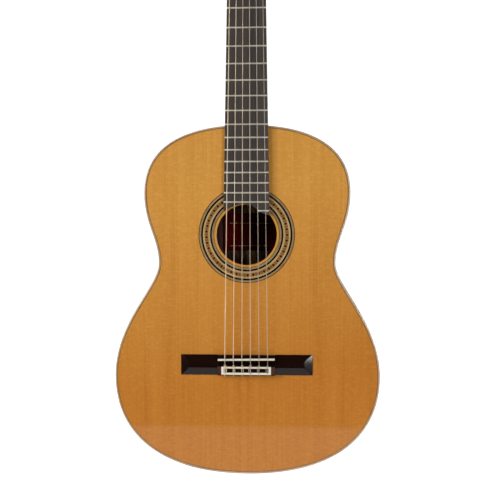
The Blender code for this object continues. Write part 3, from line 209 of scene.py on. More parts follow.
TUNERS = {1: (1, 0), 2: (1, 1), 3: (1, 2), 4: (-1, 2), 5: (-1, 1), 6: (-1, 0)}  # (side, row)
WINDING_PLACES = {6: 18, 5: 14.5, 4: 12, 3: 12, 2: 14.5, 1: 18}  # from the centre line, in mm
WINDING_TURNS = 3
# Slotted screws, in mm: sunk, rise, radius, crown's radius, slot's half length, half width and
# floor, and last the number of sides
GEAR_SCREW = (0.1, 0.45, 2.6, 1.0, 3, 0.3, 0.3, 28)
PLATE_SCREW = (0.3, 0.25, 1.9, 0.6, 2.2, 0.25, 0.2, 24)

# ---- Bridge
BRIDGE_REAR = 138.0 * MM
BRIDGE_FRONT = 166.4 * MM
BRIDGE_HALF_LENGTH = 91.9 * MM
WING_HEIGHT = 4.2 * MM
WING_EDGE_HEIGHT = 1.2 * MM
WING_BEVEL = 7.2 * MM
WING_CROWN = 0.7 * MM
WING_END_HEIGHT = 1.0 * MM
WING_END_LENGTH = 11.5 * MM
CENTRE_HALF_LENGTH = 40 * MM
SADDLE_BLOCK_HEIGHT = 8.2 * MM
TIE_BLOCK_HEIGHT = 9 * MM
TIE_BLOCK_FRONT = 150.2 * MM
TIE_CHANNEL_HEIGHT = 3.6 * MM
TIE_HOLE_HEIGHT = 5.2 * MM
TRIM_HALF_LENGTH = 34.5 * MM
TRIM_TOP = TIE_BLOCK_HEIGHT + 0.3 * MM + 1.2 * MM
TRIM_WIDTHS = mm(2.5, 3.0, 3.4)  # front, rear, ends
TRIM_REAR = BRIDGE_REAR + 1.1 * MM
SADDLE_THICKNESS = 2.8 * MM
SADDLE_HEIGHT = 11.4 * MM
SADDLE_SLOT_HEIGHT = 3.2 * MM
SADDLE_SLANT = math.radians(0.7)


def check_frame_sizes():
    """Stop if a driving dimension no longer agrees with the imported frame."""
    pairs = (
        (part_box("binding_top")[1].x, LOWER_BOUT[0]),
        (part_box("fretboard")[1].z, NUT_Z),
        (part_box("rosette")[1].x, ROSETTE_OUTER),
        (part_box("bridge")[1].x, BRIDGE_HALF_LENGTH),
        (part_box("bridge")[0].z, BRIDGE_REAR),
        (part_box("heel_cap")[1].y, FRONT_Y + HEEL_DEPTH),
    )
    for found, wanted in pairs:
        if abs(found - wanted) > 0.2 * MM:
            raise ValueError(f"the frame says {found:.5f} where this script says {wanted:.5f}")


# ---- Material helpers
MATERIALS = {}


def srgb(red, green, blue):
    """A linear colour from three display values of 0 to 255."""
    channels = [value / 255 for value in (red, green, blue)]
    linear = [c / 12.92 if c <= 0.04045 else ((c + 0.055) / 1.055) ** 2.4 for c in channels]
    return (*linear, 1.0)


class Graph:
    """A material's node tree, with short calls that add and join nodes."""

    def __init__(self, name, **settings):
        self.material = bpy.data.materials.new(name)
        self.material.use_nodes = True
        MATERIALS[name] = self.material
        self.tree = self.material.node_tree
        self.shader = self.tree.nodes["Principled BSDF"]
        for key, value in settings.items():
            self.shader.inputs[key.replace("_", " ")].default_value = value

    def node(self, kind, inputs=None, output=0, **settings):
        """Add a node, fill its inputs with values or links, and return one of its outputs."""
        made = self.tree.nodes.new(kind)
        for key, value in settings.items():
            setattr(made, key, value)
        for key, value in (inputs or {}).items():
            if isinstance(value, bpy.types.NodeSocket):
                self.tree.links.new(value, made.inputs[key])
            else:
                made.inputs[key].default_value = value
        return made.outputs[output]

    def math(self, operation, first, second=0.0, clamp=False):
        return self.node("ShaderNodeMath", {0: first, 1: second}, operation=operation, use_clamp=clamp)

    def add(self, first, second, clamp=False):
        return self.math("ADD", first, second, clamp)

    def times(self, first, second):
        return self.math("MULTIPLY", first, second)

    def blend(self, first, share, second):
        """The sum of two values, the first taken at its share and the second at the rest."""
        return self.add(self.times(first, share), self.times(second, 1 - share))

    def place(self, attribute=None):
        """The point of the surface, in metres, or in the wood's own directions."""
        if attribute:
            return self.node("ShaderNodeAttribute", output="Vector", attribute_name=attribute)
        return self.node("ShaderNodeTexCoord", output="Object")

    def split(self, vector):
        return self.node("ShaderNodeSeparateXYZ", {"Vector": vector}).node.outputs

    def join(self, x, y, z):
        return self.node("ShaderNodeCombineXYZ", {"X": x, "Y": y, "Z": z})

    def noise(self, vector, waves, detail=3.0, roughness=0.5, distortion=0.0):
        """Noise with that many waves to the metre along each axis."""
        mapped = self.node("ShaderNodeMapping", {"Vector": vector, "Scale": waves})
        inputs = {"Vector": mapped, "Scale": 1.0, "Detail": detail, "Roughness": roughness}
        inputs["Distortion"] = distortion
        return self.node("ShaderNodeTexNoise", inputs)

    def ramp(self, factor, stops):
        """A colour ramp from (position, colour) pairs."""
        output = self.node("ShaderNodeValToRGB", {"Fac": factor})
        elements = output.node.color_ramp.elements
        while len(elements) < len(stops):
            elements.new(0.5)
        for element, (position, colour) in zip(elements, stops):
            element.position = position
            element.color = colour
        return output

    def steps(self, factor, stops):
        """A grey ramp from (position, value) pairs."""
        return self.ramp(factor, [(place, (value, value, value, 1.0)) for place, value in stops])

    def mix(self, factor, first, second, blend="MIX"):
        inputs = {0: factor, 6: first, 7: second}
        settings = {"data_type": "RGBA", "blend_type": blend, "clamp_factor": True}
        return self.node("ShaderNodeMix", inputs, output=2, **settings)

    def set(self, key, socket):
        self.tree.links.new(socket, self.shader.inputs[key])

    def roughness(self, share, low, high):
        self.set("Roughness", self.add(self.times(share, high - low), low))

    def bump(self, height, distance):
        self.set("Normal", self.node("ShaderNodeBump", {"Height": height, "Distance": distance}))


# Waves to the metre of the noises in wood: across the boards, into them and along them
BEND = (9, 9, 3.5)
BANDS = (38, 20, 1.2)
STREAKS = (330, 140, 5)
FIBRES = (2600, 1500, 45)
PORES = (1500, 900, 60)
RAYS = (170, 300, 380)
STREAK_SHARE = 0.45
LATE_WOOD = ((0.0, 0.55), (0.12, 0.1), (0.55, 0.25), (0.93, 1.0), (1.0, 0.55))
HALVES_DIFFER = 0.004
PAINTED_SHADE_TINT = (0.76, 0.6, 0.44, 1.0)  # the amber tint that the painted shade multiplies into the top


def wood(
    name, palette, ring, ring_depth, streak=1.0, pore=0.0, warp=1.0, bands=0.75, fleck=0.0,
    mirror=False, cross=False, attribute=None, painted_shade=False, roughness=(0.3, 0.45), **shader,
):
    """A sawn and finished wood: growth rings, streaks, pores and flecks along one direction.

    palette holds the dark, middle and light colours, and ring is the width of a year in mm.
    """
    g = Graph(name, **shader)
    dark, middle, light = [srgb(*colour) for colour in palette]
    x, depth, z = g.split(g.place(attribute))
    across, along = (z, x) if cross else (x, z)
    if mirror:
        # Two halves opened like a book, each a little unlike the other
        side = g.times(g.math("SIGN", across), HALVES_DIFFER)
        across = g.add(g.math("ABSOLUTE", across), side)
    bend = g.noise(g.join(across, depth, along), BEND, 2.0)
    across = g.add(across, g.times(g.math("SUBTRACT", bend, 0.5), 0.03 * warp))
    across = g.add(across, g.times(depth, 0.35))
    plank = g.join(across, depth, along)
    broad = g.noise(plank, BANDS, 2.0)
    fine = g.noise(plank, STREAKS, 4.0, 0.6)
    years = g.add(g.math("DIVIDE", across, ring * MM), g.times(broad, 5.0))
    late = g.steps(g.math("FRACT", years), LATE_WOOD)
    tone = g.add(g.times(broad, bands * streak), g.times(fine, STREAK_SHARE * streak))
    tone = g.add(tone, 0.5 - (bands + STREAK_SHARE) * streak / 2)
    tone = g.math("SUBTRACT", tone, g.times(late, ring_depth))
    tone = g.add(tone, ring_depth * 0.4, clamp=True)
    colour = g.ramp(tone, [(0.12, dark), (0.5, middle), (0.88, light)])
    height = g.times(g.noise(plank, FIBRES), 0.5)
    if pore:
        spots = g.noise(plank, PORES, 2.0, 0.7)
        holes = g.times(g.steps(spots, [(0.36, 1.0), (0.42, 0.0)]), pore)
        colour = g.mix(holes, colour, (*[c * 0.35 for c in dark[:3]], 1.0))
        height = g.math("SUBTRACT", height, holes)
    if fleck:
        silk = g.steps(g.noise(plank, RAYS, 3.0, 0.75), [(0.48, 0.0), (0.66, 1.0)])
        colour = g.mix(g.times(silk, fleck), colour, light)
    if painted_shade:
        # Painted shade: an amber tint darkens the top towards the tail and the treble side, where less
        # light falls, with a wavering edge
        painted_shade_share = g.math("SUBTRACT", g.times(x, 0.8), g.times(along, 3.7))
        painted_shade_share = g.add(g.add(painted_shade_share, 1.3), g.times(bend, 0.3), clamp=True)
        colour = g.mix(painted_shade_share, colour, PAINTED_SHADE_TINT, "MULTIPLY")
    g.set("Base Color", colour)
    g.roughness(fine, *roughness)
    g.bump(height, 0.05 * MM)


def plain(name, dark, light, waves=(400, 400, 400), roughness=(0.3, 0.45), **shader):
    """A material that is nearly even, with soft clouds of colour and a fine surface."""
    g = Graph(name, **shader)
    clouds = g.noise(g.place(), [w * 0.12 for w in waves])
    fine = g.noise(g.place(), waves, 4.0, 0.6)
    tone = g.blend(clouds, 0.7, fine)
    g.set("Base Color", g.ramp(tone, [(0.3, srgb(*dark)), (0.7, srgb(*light))]))
    g.roughness(fine, *roughness)
    g.bump(fine, 0.02 * MM)


def metal(name, dark, light, brushed=(150, 150, 2200), roughness=(0.18, 0.4), metallic=1.0):
    """A turned or brushed metal with fine scratches and some tarnish."""
    g = Graph(name, Metallic=metallic)
    scratches = g.noise(g.place(), brushed, roughness=0.7)
    tarnish = g.noise(g.place(), (120, 120, 120), 4.0, 0.6)
    g.set("Base Color", g.ramp(tarnish, [(0.35, srgb(*dark)), (0.65, srgb(*light))]))
    g.roughness(g.blend(scratches, 0.5, tarnish), *roughness)
    g.bump(scratches, 0.004 * MM)


def wound_material():
    """Silver-plated wire wound close round a string's core."""
    g = Graph("silver_wound", Metallic=0.5)
    wire = 0.22 * MM
    along = g.split(g.place())[2]
    tarnish = g.noise(g.place(), (300, 300, 25))
    # The ramp's warm cream is partly painted reflection of the amber top and partly the plated wire's
    # own tarnish.
    g.set("Base Color", g.ramp(tarnish, [(0.3, srgb(216, 190, 154)), (0.7, srgb(244, 224, 192))]))
    g.roughness(tarnish, 0.22, 0.42)
    g.bump(g.math("SINE", g.times(along, TAU / wire)), 0.03 * MM)


def pearl_material():
    """Mother-of-pearl plastic for the buttons: soft folded bands of white, rose and green."""
    g = Graph("pearl", Coat_Weight=1.0, Coat_Roughness=0.05, Specular_IOR_Level=0.6)
    folds = g.noise(g.place(), (90, 90, 90), distortion=2.5)
    stops = [
        (0.32, srgb(202, 196, 182)),
        (0.45, srgb(238, 232, 220)),
        (0.52, srgb(218, 222, 208)),
        (0.6, srgb(244, 240, 232)),
        (0.7, srgb(226, 212, 204)),
    ]
    g.set("Base Color", g.ramp(folds, stops))
    g.roughness(folds, 0.15, 0.35)
    g.bump(folds, 0.1 * MM)


def label_material():
    """Dark red paper, left blank."""
    g = Graph("label_paper", Specular_IOR_Level=0.0)
    fibres = g.noise(g.place(), (900, 900, 900), 4.0, 0.7)
    clouds = g.noise(g.place(), (25, 25, 25), 2.0)
    tone = g.blend(fibres, 0.4, clouds)
    g.set("Base Color", g.ramp(tone, [(0.3, srgb(84, 8, 10)), (0.7, srgb(108, 15, 17))]))
    g.roughness(fibres, 0.6, 0.8)
    g.bump(fibres, 0.05 * MM)


# Thin inlays in the top and round the edges: (name, dark colour, light colour, specular level)
INLAYS = (
    ("inlay_dark", (70, 42, 24), (92, 58, 34), 0.1),
    ("inlay_black", (8, 5, 4), (18, 12, 9), 0.1),
    ("inlay_grey", (128, 104, 70), (168, 144, 106), 0.1),
    ("inlay_cream", (170, 138, 88), (200, 168, 116), 0.1),
    ("inlay_olive", (92, 70, 34), (124, 96, 50), 0.1),
    ("inlay_light", (186, 146, 92), (214, 178, 122), 0.5),
    ("tile_dark", (52, 20, 6), (72, 30, 9), 0.1),
    ("tile_mid", (104, 66, 24), (130, 88, 36), 0.5),
    ("tile_tan", (136, 98, 48), (162, 122, 64), 0.5),
)


def make_materials():
    """Every material of the guitar."""
    gloss = {"Coat_Weight": 1.0, "Coat_Roughness": 0.05}
    satin = {"Coat_Weight": 0.35, "Coat_Roughness": 0.3}
    red = ((30, 10, 7), (72, 26, 16), (112, 50, 30))
    streaked = ((140, 108, 80), (196, 164, 130), (216, 190, 160))
    brown = ((84, 38, 20), (122, 62, 36), (152, 86, 52))
    pale = ((150, 112, 68), (190, 152, 100), (212, 178, 126))
    bright = ((176, 126, 66), (214, 164, 96), (232, 190, 120))
    graft = ((88, 58, 38), (150, 112, 78), (184, 150, 116))
    # The top's colour carries painted shade, darker towards the tail and the treble side.
    wood(
        "cedar", ((166, 104, 38), (211, 147, 64), (231, 175, 89)), 1.25, 0.1, 0.8, warp=0.35,
        bands=0.35, fleck=0.4, mirror=True, painted_shade=True, Specular_IOR_Level=0.1, **gloss,
    )
    wood("rosewood", red, 7, 0.6, 1.2, 0.5, 1.2, mirror=True, **gloss)
    coat = {"Coat_Weight": 0.6, "Coat_Roughness": 0.15}
    wood("rib_rosewood", red, 7, 0.6, 1.2, 0.5, 1.2, attribute="grain", **coat)
    coat = {"Coat_Weight": 0.5, "Coat_Roughness": 0.15, "Specular_IOR_Level": 0.3}
    wood("head_rosewood", red, 6, 0.6, 1.1, 0.5, mirror=True, **coat)
    wood("binding", streaked, 1.1, 0.3, 1.0, 0.2, 0.3, attribute="grain", **gloss)
    wood("graft_wood", graft, 1.6, 0.3, cross=True, **gloss)
    wood("mahogany", brown, 11, 0.25, 0.9, 0.45, 0.8, **satin)
    wood("head_mahogany", brown, 11, 0.25, 0.9, 0.45, **satin)
    wood("mahogany_cross", brown, 11, 0.25, 0.9, 0.45, cross=True, roughness=(0.55, 0.7))
    raw = {"warp": 0.2, "roughness": (0.6, 0.75)}
    wood("spruce", pale, 1.4, 0.35, 0.6, **raw)
    wood("spruce_cross", pale, 1.4, 0.35, 0.6, cross=True, **raw)
    wood("spruce_strip", bright, 1.4, 0.3, 0.6, cross=True, **raw)
    black = ((30, 26, 24), (58, 50, 46), (80, 70, 64))
    wood("ebony", black, 2.5, 0.3, 1.1, 0.3, 0.2, roughness=(0.42, 0.6))
    wood(
        "bridge_wood", ((10, 3, 1), (20, 6, 3), (36, 12, 7)), 3, 0.4, 1.0, 0.25, 0.3,
        cross=True, roughness=(0.25, 0.35), Specular_IOR_Level=0.05, **gloss,
    )
    end_grain = ((34, 10, 7), (70, 26, 17), (108, 50, 34))
    wood("cheek_wood", end_grain, 1.6, 0.5, 1.1, 0.3, 0.2, roughness=(0.25, 0.4), **gloss)
    for name, dark, light, specular in INLAYS:
        waves = (900, 900, 900) if name == "inlay_grey" else (400, 400, 400)
        plain(name, dark, light, waves, (0.3, 0.4), Specular_IOR_Level=specular, **gloss)
    soft = {"Subsurface_Weight": 0.1, "Subsurface_Scale": 0.6 * MM}
    plain("bone", (224, 216, 196), (244, 238, 224), (300, 900, 900), (0.22, 0.36), **soft)
    clear = {"Transmission_Weight": 0.5, "IOR": 1.53}
    plain("nylon", (222, 206, 180), (240, 228, 206), (500, 500, 60), (0.15, 0.25), **clear)
    plain("roller_bone", (214, 204, 182), (236, 230, 214), roughness=(0.25, 0.4))
    plain("label_line", (190, 160, 140), (214, 188, 168), roughness=(0.6, 0.8))
    metal("nickel_silver", (204, 198, 180), (226, 221, 206), (2200, 150, 150), (0.4, 0.55), 0.55)
    metal("gilt", (188, 146, 74), (226, 188, 112))
    metal("brass", (170, 134, 74), (206, 172, 108))
    metal("screw", (176, 140, 80), (214, 180, 116), (900, 900, 900))
    wound_material()
    pearl_material()
    label_material()


# ---- Mesh helpers
def new_object(name, bm, matrix=None):
    """An object in the scene made from a bmesh."""
    bmesh.ops.recalc_face_normals(bm, faces=bm.faces)
    mesh = bpy.data.meshes.new(name)
    bm.to_mesh(mesh)
    bm.free()
    if matrix is not None:
        mesh.transform(matrix)
    obj = bpy.data.objects.new(name, mesh)
    bpy.context.scene.collection.objects.link(obj)
    return obj


def shade(mesh, sharp=32):
    mesh.shade_smooth()
    mesh.set_sharp_from_angle(angle=math.radians(sharp))


def round_edges(obj, width, angle, segments=2, harden=False):
    modifier = obj.modifiers.new("rounded_edges", "BEVEL")
    modifier.width = width
    modifier.segments = segments
    modifier.limit_method = "ANGLE"
    modifier.angle_limit = math.radians(angle)
    modifier.harden_normals = harden


def add_piece(
    name, bm, material, replaces=(), body="guitar", matrix=None, sharp=32,
    bevel=0.0, bevel_angle=40,
):
    """Make a piece of the guitar from a bmesh, in place and riding on its body."""
    obj = new_object(name, bm, matrix)
    shade(obj.data, sharp)
    for each in material if isinstance(material, tuple) else (material,):
        obj.data.materials.append(MATERIALS[each])
    if bevel:
        round_edges(obj, bevel, bevel_angle)
    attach(obj, body)
    if replaces:
        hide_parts(*replaces)
    return obj


def cut(target, bm, matrix=None):
    """Cut a closed shape away from a piece at once."""
    tool = new_object("tool", bm, matrix)
    modifier = target.modifiers.new("cut", "BOOLEAN")
    modifier.operation = "DIFFERENCE"
    modifier.solver = "EXACT"
    modifier.object = tool
    bevels = [m for m in target.modifiers if m.type == "BEVEL"]
    for bevel in bevels:
        bevel.show_viewport = False
    bpy.context.view_layer.update()
    graph = bpy.context.evaluated_depsgraph_get()
    shaped = bpy.data.meshes.new_from_object(target.evaluated_get(graph))
    target.modifiers.remove(modifier)
    for bevel in bevels:
        bevel.show_viewport = True
    target.data = shaped
    shade(shaped)
    bpy.data.objects.remove(tool)


def skin(rows, closed=False, grains=None):
    """Faces between rows of equally many points, each row a closed ring."""
    bm = bmesh.new()
    layer = bm.verts.layers.float_vector.new("grain") if grains else None
    made = []
    for k, row in enumerate(rows):
        verts = [bm.verts.new(point) for point in row]
        if grains:
            for vert, grain in zip(verts, grains[k]):
                vert[layer] = grain
        made.append(verts)
    pairs = list(zip(made, made[1:]))
    if closed:
        pairs.append((made[-1], made[0]))
    for lower, upper in pairs:
        wall(bm, lower, upper)
    if not closed:
        bm.faces.new(made[0])
        bm.faces.new(made[-1])
    return bm


def wall(bm, first, second):
    """Quads between two loops of vertices."""
    for i in range(len(first)):
        j = (i + 1) % len(first)
        bm.faces.new((first[i], first[j], second[j], second[i]))


def merge(first, second):
    """One bmesh that holds both closed shapes."""
    mesh = bpy.data.meshes.new("merge")
    second.to_mesh(mesh)
    second.free()
    first.from_mesh(mesh)
    bpy.data.meshes.remove(mesh)
    return first


def prism(section, axis, ends):
    """A bar along an axis. The section holds pairs of the other two coordinates."""
    at = "XYZ".index(axis)
    return skin([[(*pair[:at], end, *pair[at:]) for pair in section] for end in ends])


def box(low, high):
    """A block between two corners."""
    xs, ys, zs = zip(low, high)
    square = [(xs[0], ys[0]), (xs[1], ys[0]), (xs[1], ys[1]), (xs[0], ys[1])]
    return prism(square, "Z", zs)


def shares(count):
    """Even steps from 0 to 1, both included."""
    return [k / count for k in range(count + 1)]


def between(first, second, share):
    return first + (second - first) * share


def full_turn(count):
    """Cosine and sine at even steps once round."""
    return [(math.cos(TAU * k / count), math.sin(TAU * k / count)) for k in range(count)]


def half_turn(count):
    """Cosine and sine at even steps half round, both ends included."""
    return [(math.cos(math.pi * t), math.sin(math.pi * t)) for t in shares(count)]


def mirrored(half):
    """A half outline and its mirror image. Points on the centre line aren't repeated."""
    return half + [(-x, other) for x, other in reversed(half) if x > 0]


def turned(profile, sides=32, side=1, axis="X"):
    """A solid turned about a local axis, from (place along it, radius) pairs."""
    rows = []
    for place, radius in profile:
        ring = [(radius * c, radius * s) for c, s in full_turn(sides)]
        place *= side
        rows.append([(place, *point) if axis == "X" else (*point, place) for point in ring])
    return skin(rows)


def hole_circle(radius, y):
    """Points round the soundhole's axis."""
    return [(radius * c, y, HOLE_Z + radius * s) for c, s in full_turn(HOLE_SEGMENTS)]


def rounded_path(points, radius):
    """The same path with every corner turned into a short curve."""
    path = [points[0]]
    for before, corner, after in zip(points, points[1:], points[2:]):
        reach = min(radius, (corner - before).length * 0.45, (after - corner).length * 0.45)
        start = corner + (before - corner).normalized() * reach
        end = corner + (after - corner).normalized() * reach
        path += [start.lerp(corner, t).lerp(corner.lerp(end, t), t) for t in shares(5)]
    return path + [points[-1]]


def tube(path, radius, sides=12):
    """A round bar along a path."""
    rows = []
    side = Vector((1, 0, 0))
    for i, point in enumerate(path):
        along = (path[min(i + 1, len(path) - 1)] - path[max(i - 1, 0)]).normalized()
        side = (side - along * side.dot(along)).normalized()
        other = along.cross(side)
        rows.append([point + (side * c + other * s) * radius for c, s in full_turn(sides)])
    return skin(rows)


# ---- The body's outline and faces
def bezier(p0, p1, p2, p3, t):
    """Point of a cubic Bezier curve."""
    s = 1 - t
    weights = (s * s * s, 3 * s * s * t, 3 * s * t * t, t * t * t)
    return tuple(sum(w * p[k] for w, p in zip(weights, (p0, p1, p2, p3))) for k in (0, 1))


def outline_pieces():
    """The four Bezier pieces of the treble half, from the tail's centre up to the heel's."""
    (lx, lz), (wx, wz), (ux, uz) = LOWER_BOUT, WAIST, UPPER_BOUT
    return [
        ((0, 0), (TAIL_HANDLE, 0), (lx, lz - LOWER_HANDLES[0]), (lx, lz)),
        ((lx, lz), (lx, lz + LOWER_HANDLES[1]), (wx, wz - WAIST_HANDLES[0]), (wx, wz)),
        ((wx, wz), (wx, wz + WAIST_HANDLES[1]), (ux, uz - UPPER_HANDLES[0]), (ux, uz)),
        ((ux, uz), (ux, uz + UPPER_HANDLES[1]), (SHOULDER_HANDLE, BODY_LENGTH), (0, BODY_LENGTH)),
    ]


def outline_point(s):
    """Point of the half outline at s, from 0 at the tail to 4 at the heel, with its outward normal."""
    index = min(3, int(s))
    piece = outline_pieces()[index]
    t = s - index
    x, z = bezier(*piece, t)
    x0, z0 = bezier(*piece, max(0.0, t - 1e-4))
    x1, z1 = bezier(*piece, min(1.0, t + 1e-4))
    along = Vector((x1 - x0, z1 - z0)).normalized()
    return x, z, along.y, -along.x


def inset_point(s, inset):
    """A point moved straight inwards from the outline."""
    x, z, nx, nz = outline_point(s)
    return x - nx * inset, z - nz * inset


def place_of_width(width, heel):
    """The s at which the outline is that far from the centre line, near the tail or the heel."""
    low, high = (3.0, 4.0) if heel else (0.0, 1.0)
    for _ in range(40):
        middle = (low + high) / 2
        if (outline_point(middle)[0] > width) == heel:
            low = middle
        else:
            high = middle
    return (low + high) / 2


def outline_places(open_ends=False):
    """Values of s along the half outline, which may stop short of the tail and the heel."""
    first = place_of_width(TAIL_GAP, False) if open_ends else 0.0
    last = place_of_width(HEEL_GAP, True) if open_ends else 4.0
    places = [4 * t for t in shares(4 * OUTLINE_STEPS)]
    return [first, *[s for s in places if first + 0.005 < s < last - 0.005], last]


def closed_line(inset):
    """The whole outline, moved inwards, once round."""
    half = [inset_point(s, inset) for s in outline_places()]
    half[0], half[-1] = (0.0, half[0][1]), (0.0, half[-1][1])
    return mirrored(half)


def back_face(x, z):
    """Y of the arched back's outer face."""
    t = z / BODY_LENGTH
    depth = between(TAIL_DEPTH, HEEL_DEPTH, t) + BACK_ARCH * 4 * t * (1 - t)
    return FRONT_Y + depth - x * x / (2 * BACK_RADIUS)


def rim_y(reference, depth, x, z):
    """Y of a point so far behind the front face, or so far in front of the back face."""
    return FRONT_Y + depth if reference == "front" else back_face(x, z) - depth


def rim(profile, side=0):
    """A strip bent round the body. profile holds (inset, face, depth); side 0 goes all the way round."""
    rows, grains = [], []
    length = 0.0
    previous = None
    for s in outline_places(open_ends=side != 0):
        x, z, nx, nz = outline_point(s)
        if previous:
            length += math.dist(previous, (x, z))
        previous = (x, z)
        row, grain = [], []
        for inset, reference, depth in profile:
            px, pz = x - nx * inset, z - nz * inset
            y = rim_y(reference, depth, px, pz)
            row.append((px, y, pz))
            grain.append((y, inset, length))
        rows.append(row)
        grains.append(grain)
    if side == 0:
        other = [[(-x, y, z) for x, y, z in row] for row in reversed(rows[1:-1])]
        other_grains = [[(a, b, -c) for a, b, c in grain] for grain in reversed(grains[1:-1])]
        return skin(rows + other, closed=True, grains=grains + other_grains)
    if side < 0:
        rows = [[(-x, y, z) for x, y, z in row] for row in rows]
    return skin(rows, grains=grains)


def rim_strip(reference, near, far, shallow, deep, side=0):
    """A strip of the rim with four corners, between two insets and two depths."""
    section = [(near, shallow), (near, deep), (far, deep), (far, shallow)]
    return rim([(inset, reference, depth) for inset, depth in section], side)


# ---- Body
def tessellated(bm, outer, hole):
    """Fill the flat region between an outer loop of vertices and a hole in it."""
    flat_loops = [[(v.co.x, v.co.z, 0) for v in loop] for loop in (outer, hole)]
    verts = outer + hole
    for a, b, c in tessellate_polygon(flat_loops):
        bm.faces.new((verts[a], verts[b], verts[c]))


def make_top():
    """The soundboard with its rounded hole and the channel of the rosette."""
    bm = bmesh.new()
    back_y = FRONT_Y + TOP_THICKNESS
    channel = FRONT_Y + ROSETTE_DEPTH
    soft = 0.35 * MM
    outer_front, outer_back = [
        [bm.verts.new((x, y, z)) for x, z in closed_line(INNER_EDGE)] for y in (FRONT_Y, back_y)
    ]
    circles = []
    for radius, y in (
        (ROSETTE_OUTER, FRONT_Y),
        (ROSETTE_OUTER, channel),
        (ROSETTE_INNER, channel),
        (ROSETTE_INNER, FRONT_Y),
        (HOLE_RADIUS + soft, FRONT_Y),
        (HOLE_RADIUS + soft * 0.3, FRONT_Y + soft * 0.3),
        (HOLE_RADIUS, FRONT_Y + soft),
        (HOLE_RADIUS, back_y),
    ):
        circles.append([bm.verts.new(point) for point in hole_circle(radius, y)])
    tessellated(bm, outer_front, circles[0])
    for first, second in zip(circles, circles[1:]):
        wall(bm, first, second)
    tessellated(bm, outer_back, circles[-1])
    wall(bm, outer_front, outer_back)
    add_piece("top_plate", bm, "cedar", ["soundboard"], sharp=25)


def make_rosette():
    """The rosette's rings, level with the top, and the mosaic of small tiles."""
    outer = ROSETTE_OUTER
    depth = FRONT_Y + ROSETTE_DEPTH
    for number, (inner_mm, colour) in enumerate(ROSETTE_RINGS, 1):
        inner = inner_mm * MM
        if colour == "mosaic":
            bm, material, replaced = mosaic(outer, inner, depth), TILES, ["rosette"]
        else:
            corners = ((outer, FRONT_Y), (outer, depth), (inner, depth), (inner, FRONT_Y))
            rows = list(zip(*[hole_circle(radius, y) for radius, y in corners]))
            bm, material, replaced = skin(rows, closed=True), "inlay_" + colour, []
        add_piece(f"rosette_ring_{number}_{colour}", bm, material, replaced)
        outer = inner


def tile_colour(column, row):
    """Index of a tile's wood: dark diamonds with brown between them on a tan band, in cream edges."""
    from_middle = abs(row - (MOSAIC_ROWS - 1) / 2)
    across = min(column, MOSAIC_COLUMNS - column)
    if across + from_middle <= 2:
        return DARK_TILE
    if from_middle > 2:
        return CREAM_TILE
    return BROWN_TILE if across >= 4 else TAN_TILE


def mosaic(outer, inner, depth):
    """A ring of square tiles, each repeat of the pattern alike."""
    count = MOSAIC_REPEATS * MOSAIC_COLUMNS
    radii = [between(outer, inner, t) for t in shares(MOSAIC_ROWS)]
    bm = bmesh.new()
    rows = []
    for c, s in full_turn(count):
        front = [bm.verts.new((r * c, FRONT_Y, HOLE_Z + r * s)) for r in radii]
        back = [bm.verts.new((r * c, depth, HOLE_Z + r * s)) for r in (outer, radii[-1])]
        rows.append((front, back))
    for k in range(count):
        (front, back), (next_front, next_back) = rows[k], rows[(k + 1) % count]
        for r in range(MOSAIC_ROWS):
            tile = bm.faces.new((front[r], front[r + 1], next_front[r + 1], next_front[r]))
            tile.material_index = tile_colour((k + 1) % MOSAIC_COLUMNS, r)
        bm.faces.new((back[0], back[1], next_back[1], next_back[0]))
        for end in (0, -1):
            bm.faces.new((front[end], next_front[end], next_back[end], back[end]))
    return bm


def make_edges():
    """Bindings with rounded corners, and the thin lines inside them, on the front and the back."""
    for reference, label in (("front", "top"), ("back", "back")):
        profile = []
        for t in shares(5):
            a = math.pi / 2 * t
            inset, depth = BINDING_CORNER * (1 - math.sin(a)), BINDING_CORNER * (1 - math.cos(a))
            profile.append((inset, reference, depth))
        profile += [(0.0, reference, BINDING_HEIGHT), (BINDING_WIDTH, reference, BINDING_HEIGHT)]
        profile.append((BINDING_WIDTH, reference, 0.0))
        name = f"binding_{label}"
        add_piece(f"{name}_strip", rim(profile), "binding", [name], sharp=40)
        near = BINDING_WIDTH
        for number, (colour, width) in enumerate(PURFLING, 1):
            strip = rim_strip(reference, near, near + width, 0.0, PURFLING_DEPTH)
            add_piece(f"purfling_{label}_{number}", strip, "inlay_" + colour)
            near += width
        # A thin pair of lines where the binding meets the rib
        level = BINDING_HEIGHT
        for number, colour in enumerate(SIDE_LINES, 1):
            for side, word in SIDES:
                strip = rim_strip(reference, 0.0, RIB_THICKNESS, level, level + SIDE_LINE, side)
                add_piece(f"side_line_{label}_{word}_{number}", strip, "inlay_" + colour)
            level += SIDE_LINE


def make_ribs():
    """The two bent ribs between the lines under the bindings, and the graft between their ends."""
    depth = BINDING_HEIGHT + 2 * SIDE_LINE
    section = [(0.0, "front", depth), (0.0, "back", depth)]
    section += [(RIB_THICKNESS, "back", depth), (RIB_THICKNESS, "front", depth)]
    for side, word in SIDES:
        add_piece(f"rib_{word}_wood", rim(section, side), "rib_rosewood", [f"rib_{word}"])
    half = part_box("end_graft")[1].x - 0.1 * MM
    front = FRONT_Y + BINDING_HEIGHT
    back = back_face(0, 0) - BINDING_HEIGHT
    panel = box((-half, front, 0.02 * MM), (half, back, RIB_THICKNESS))
    add_piece("end_graft_panel", panel, "graft_wood", ["end_graft"])
    for side, word in SIDES[::-1]:
        for number, colour in enumerate(SIDE_LINES, 1):
            start = half + (number - 1) * SIDE_LINE
            left, right = sorted((side * start, side * (start + SIDE_LINE)))
            line = box((left, front, 0.03 * MM), (right, back, RIB_THICKNESS))
            add_piece(f"graft_line_{word}_{number}", line, "inlay_" + colour)


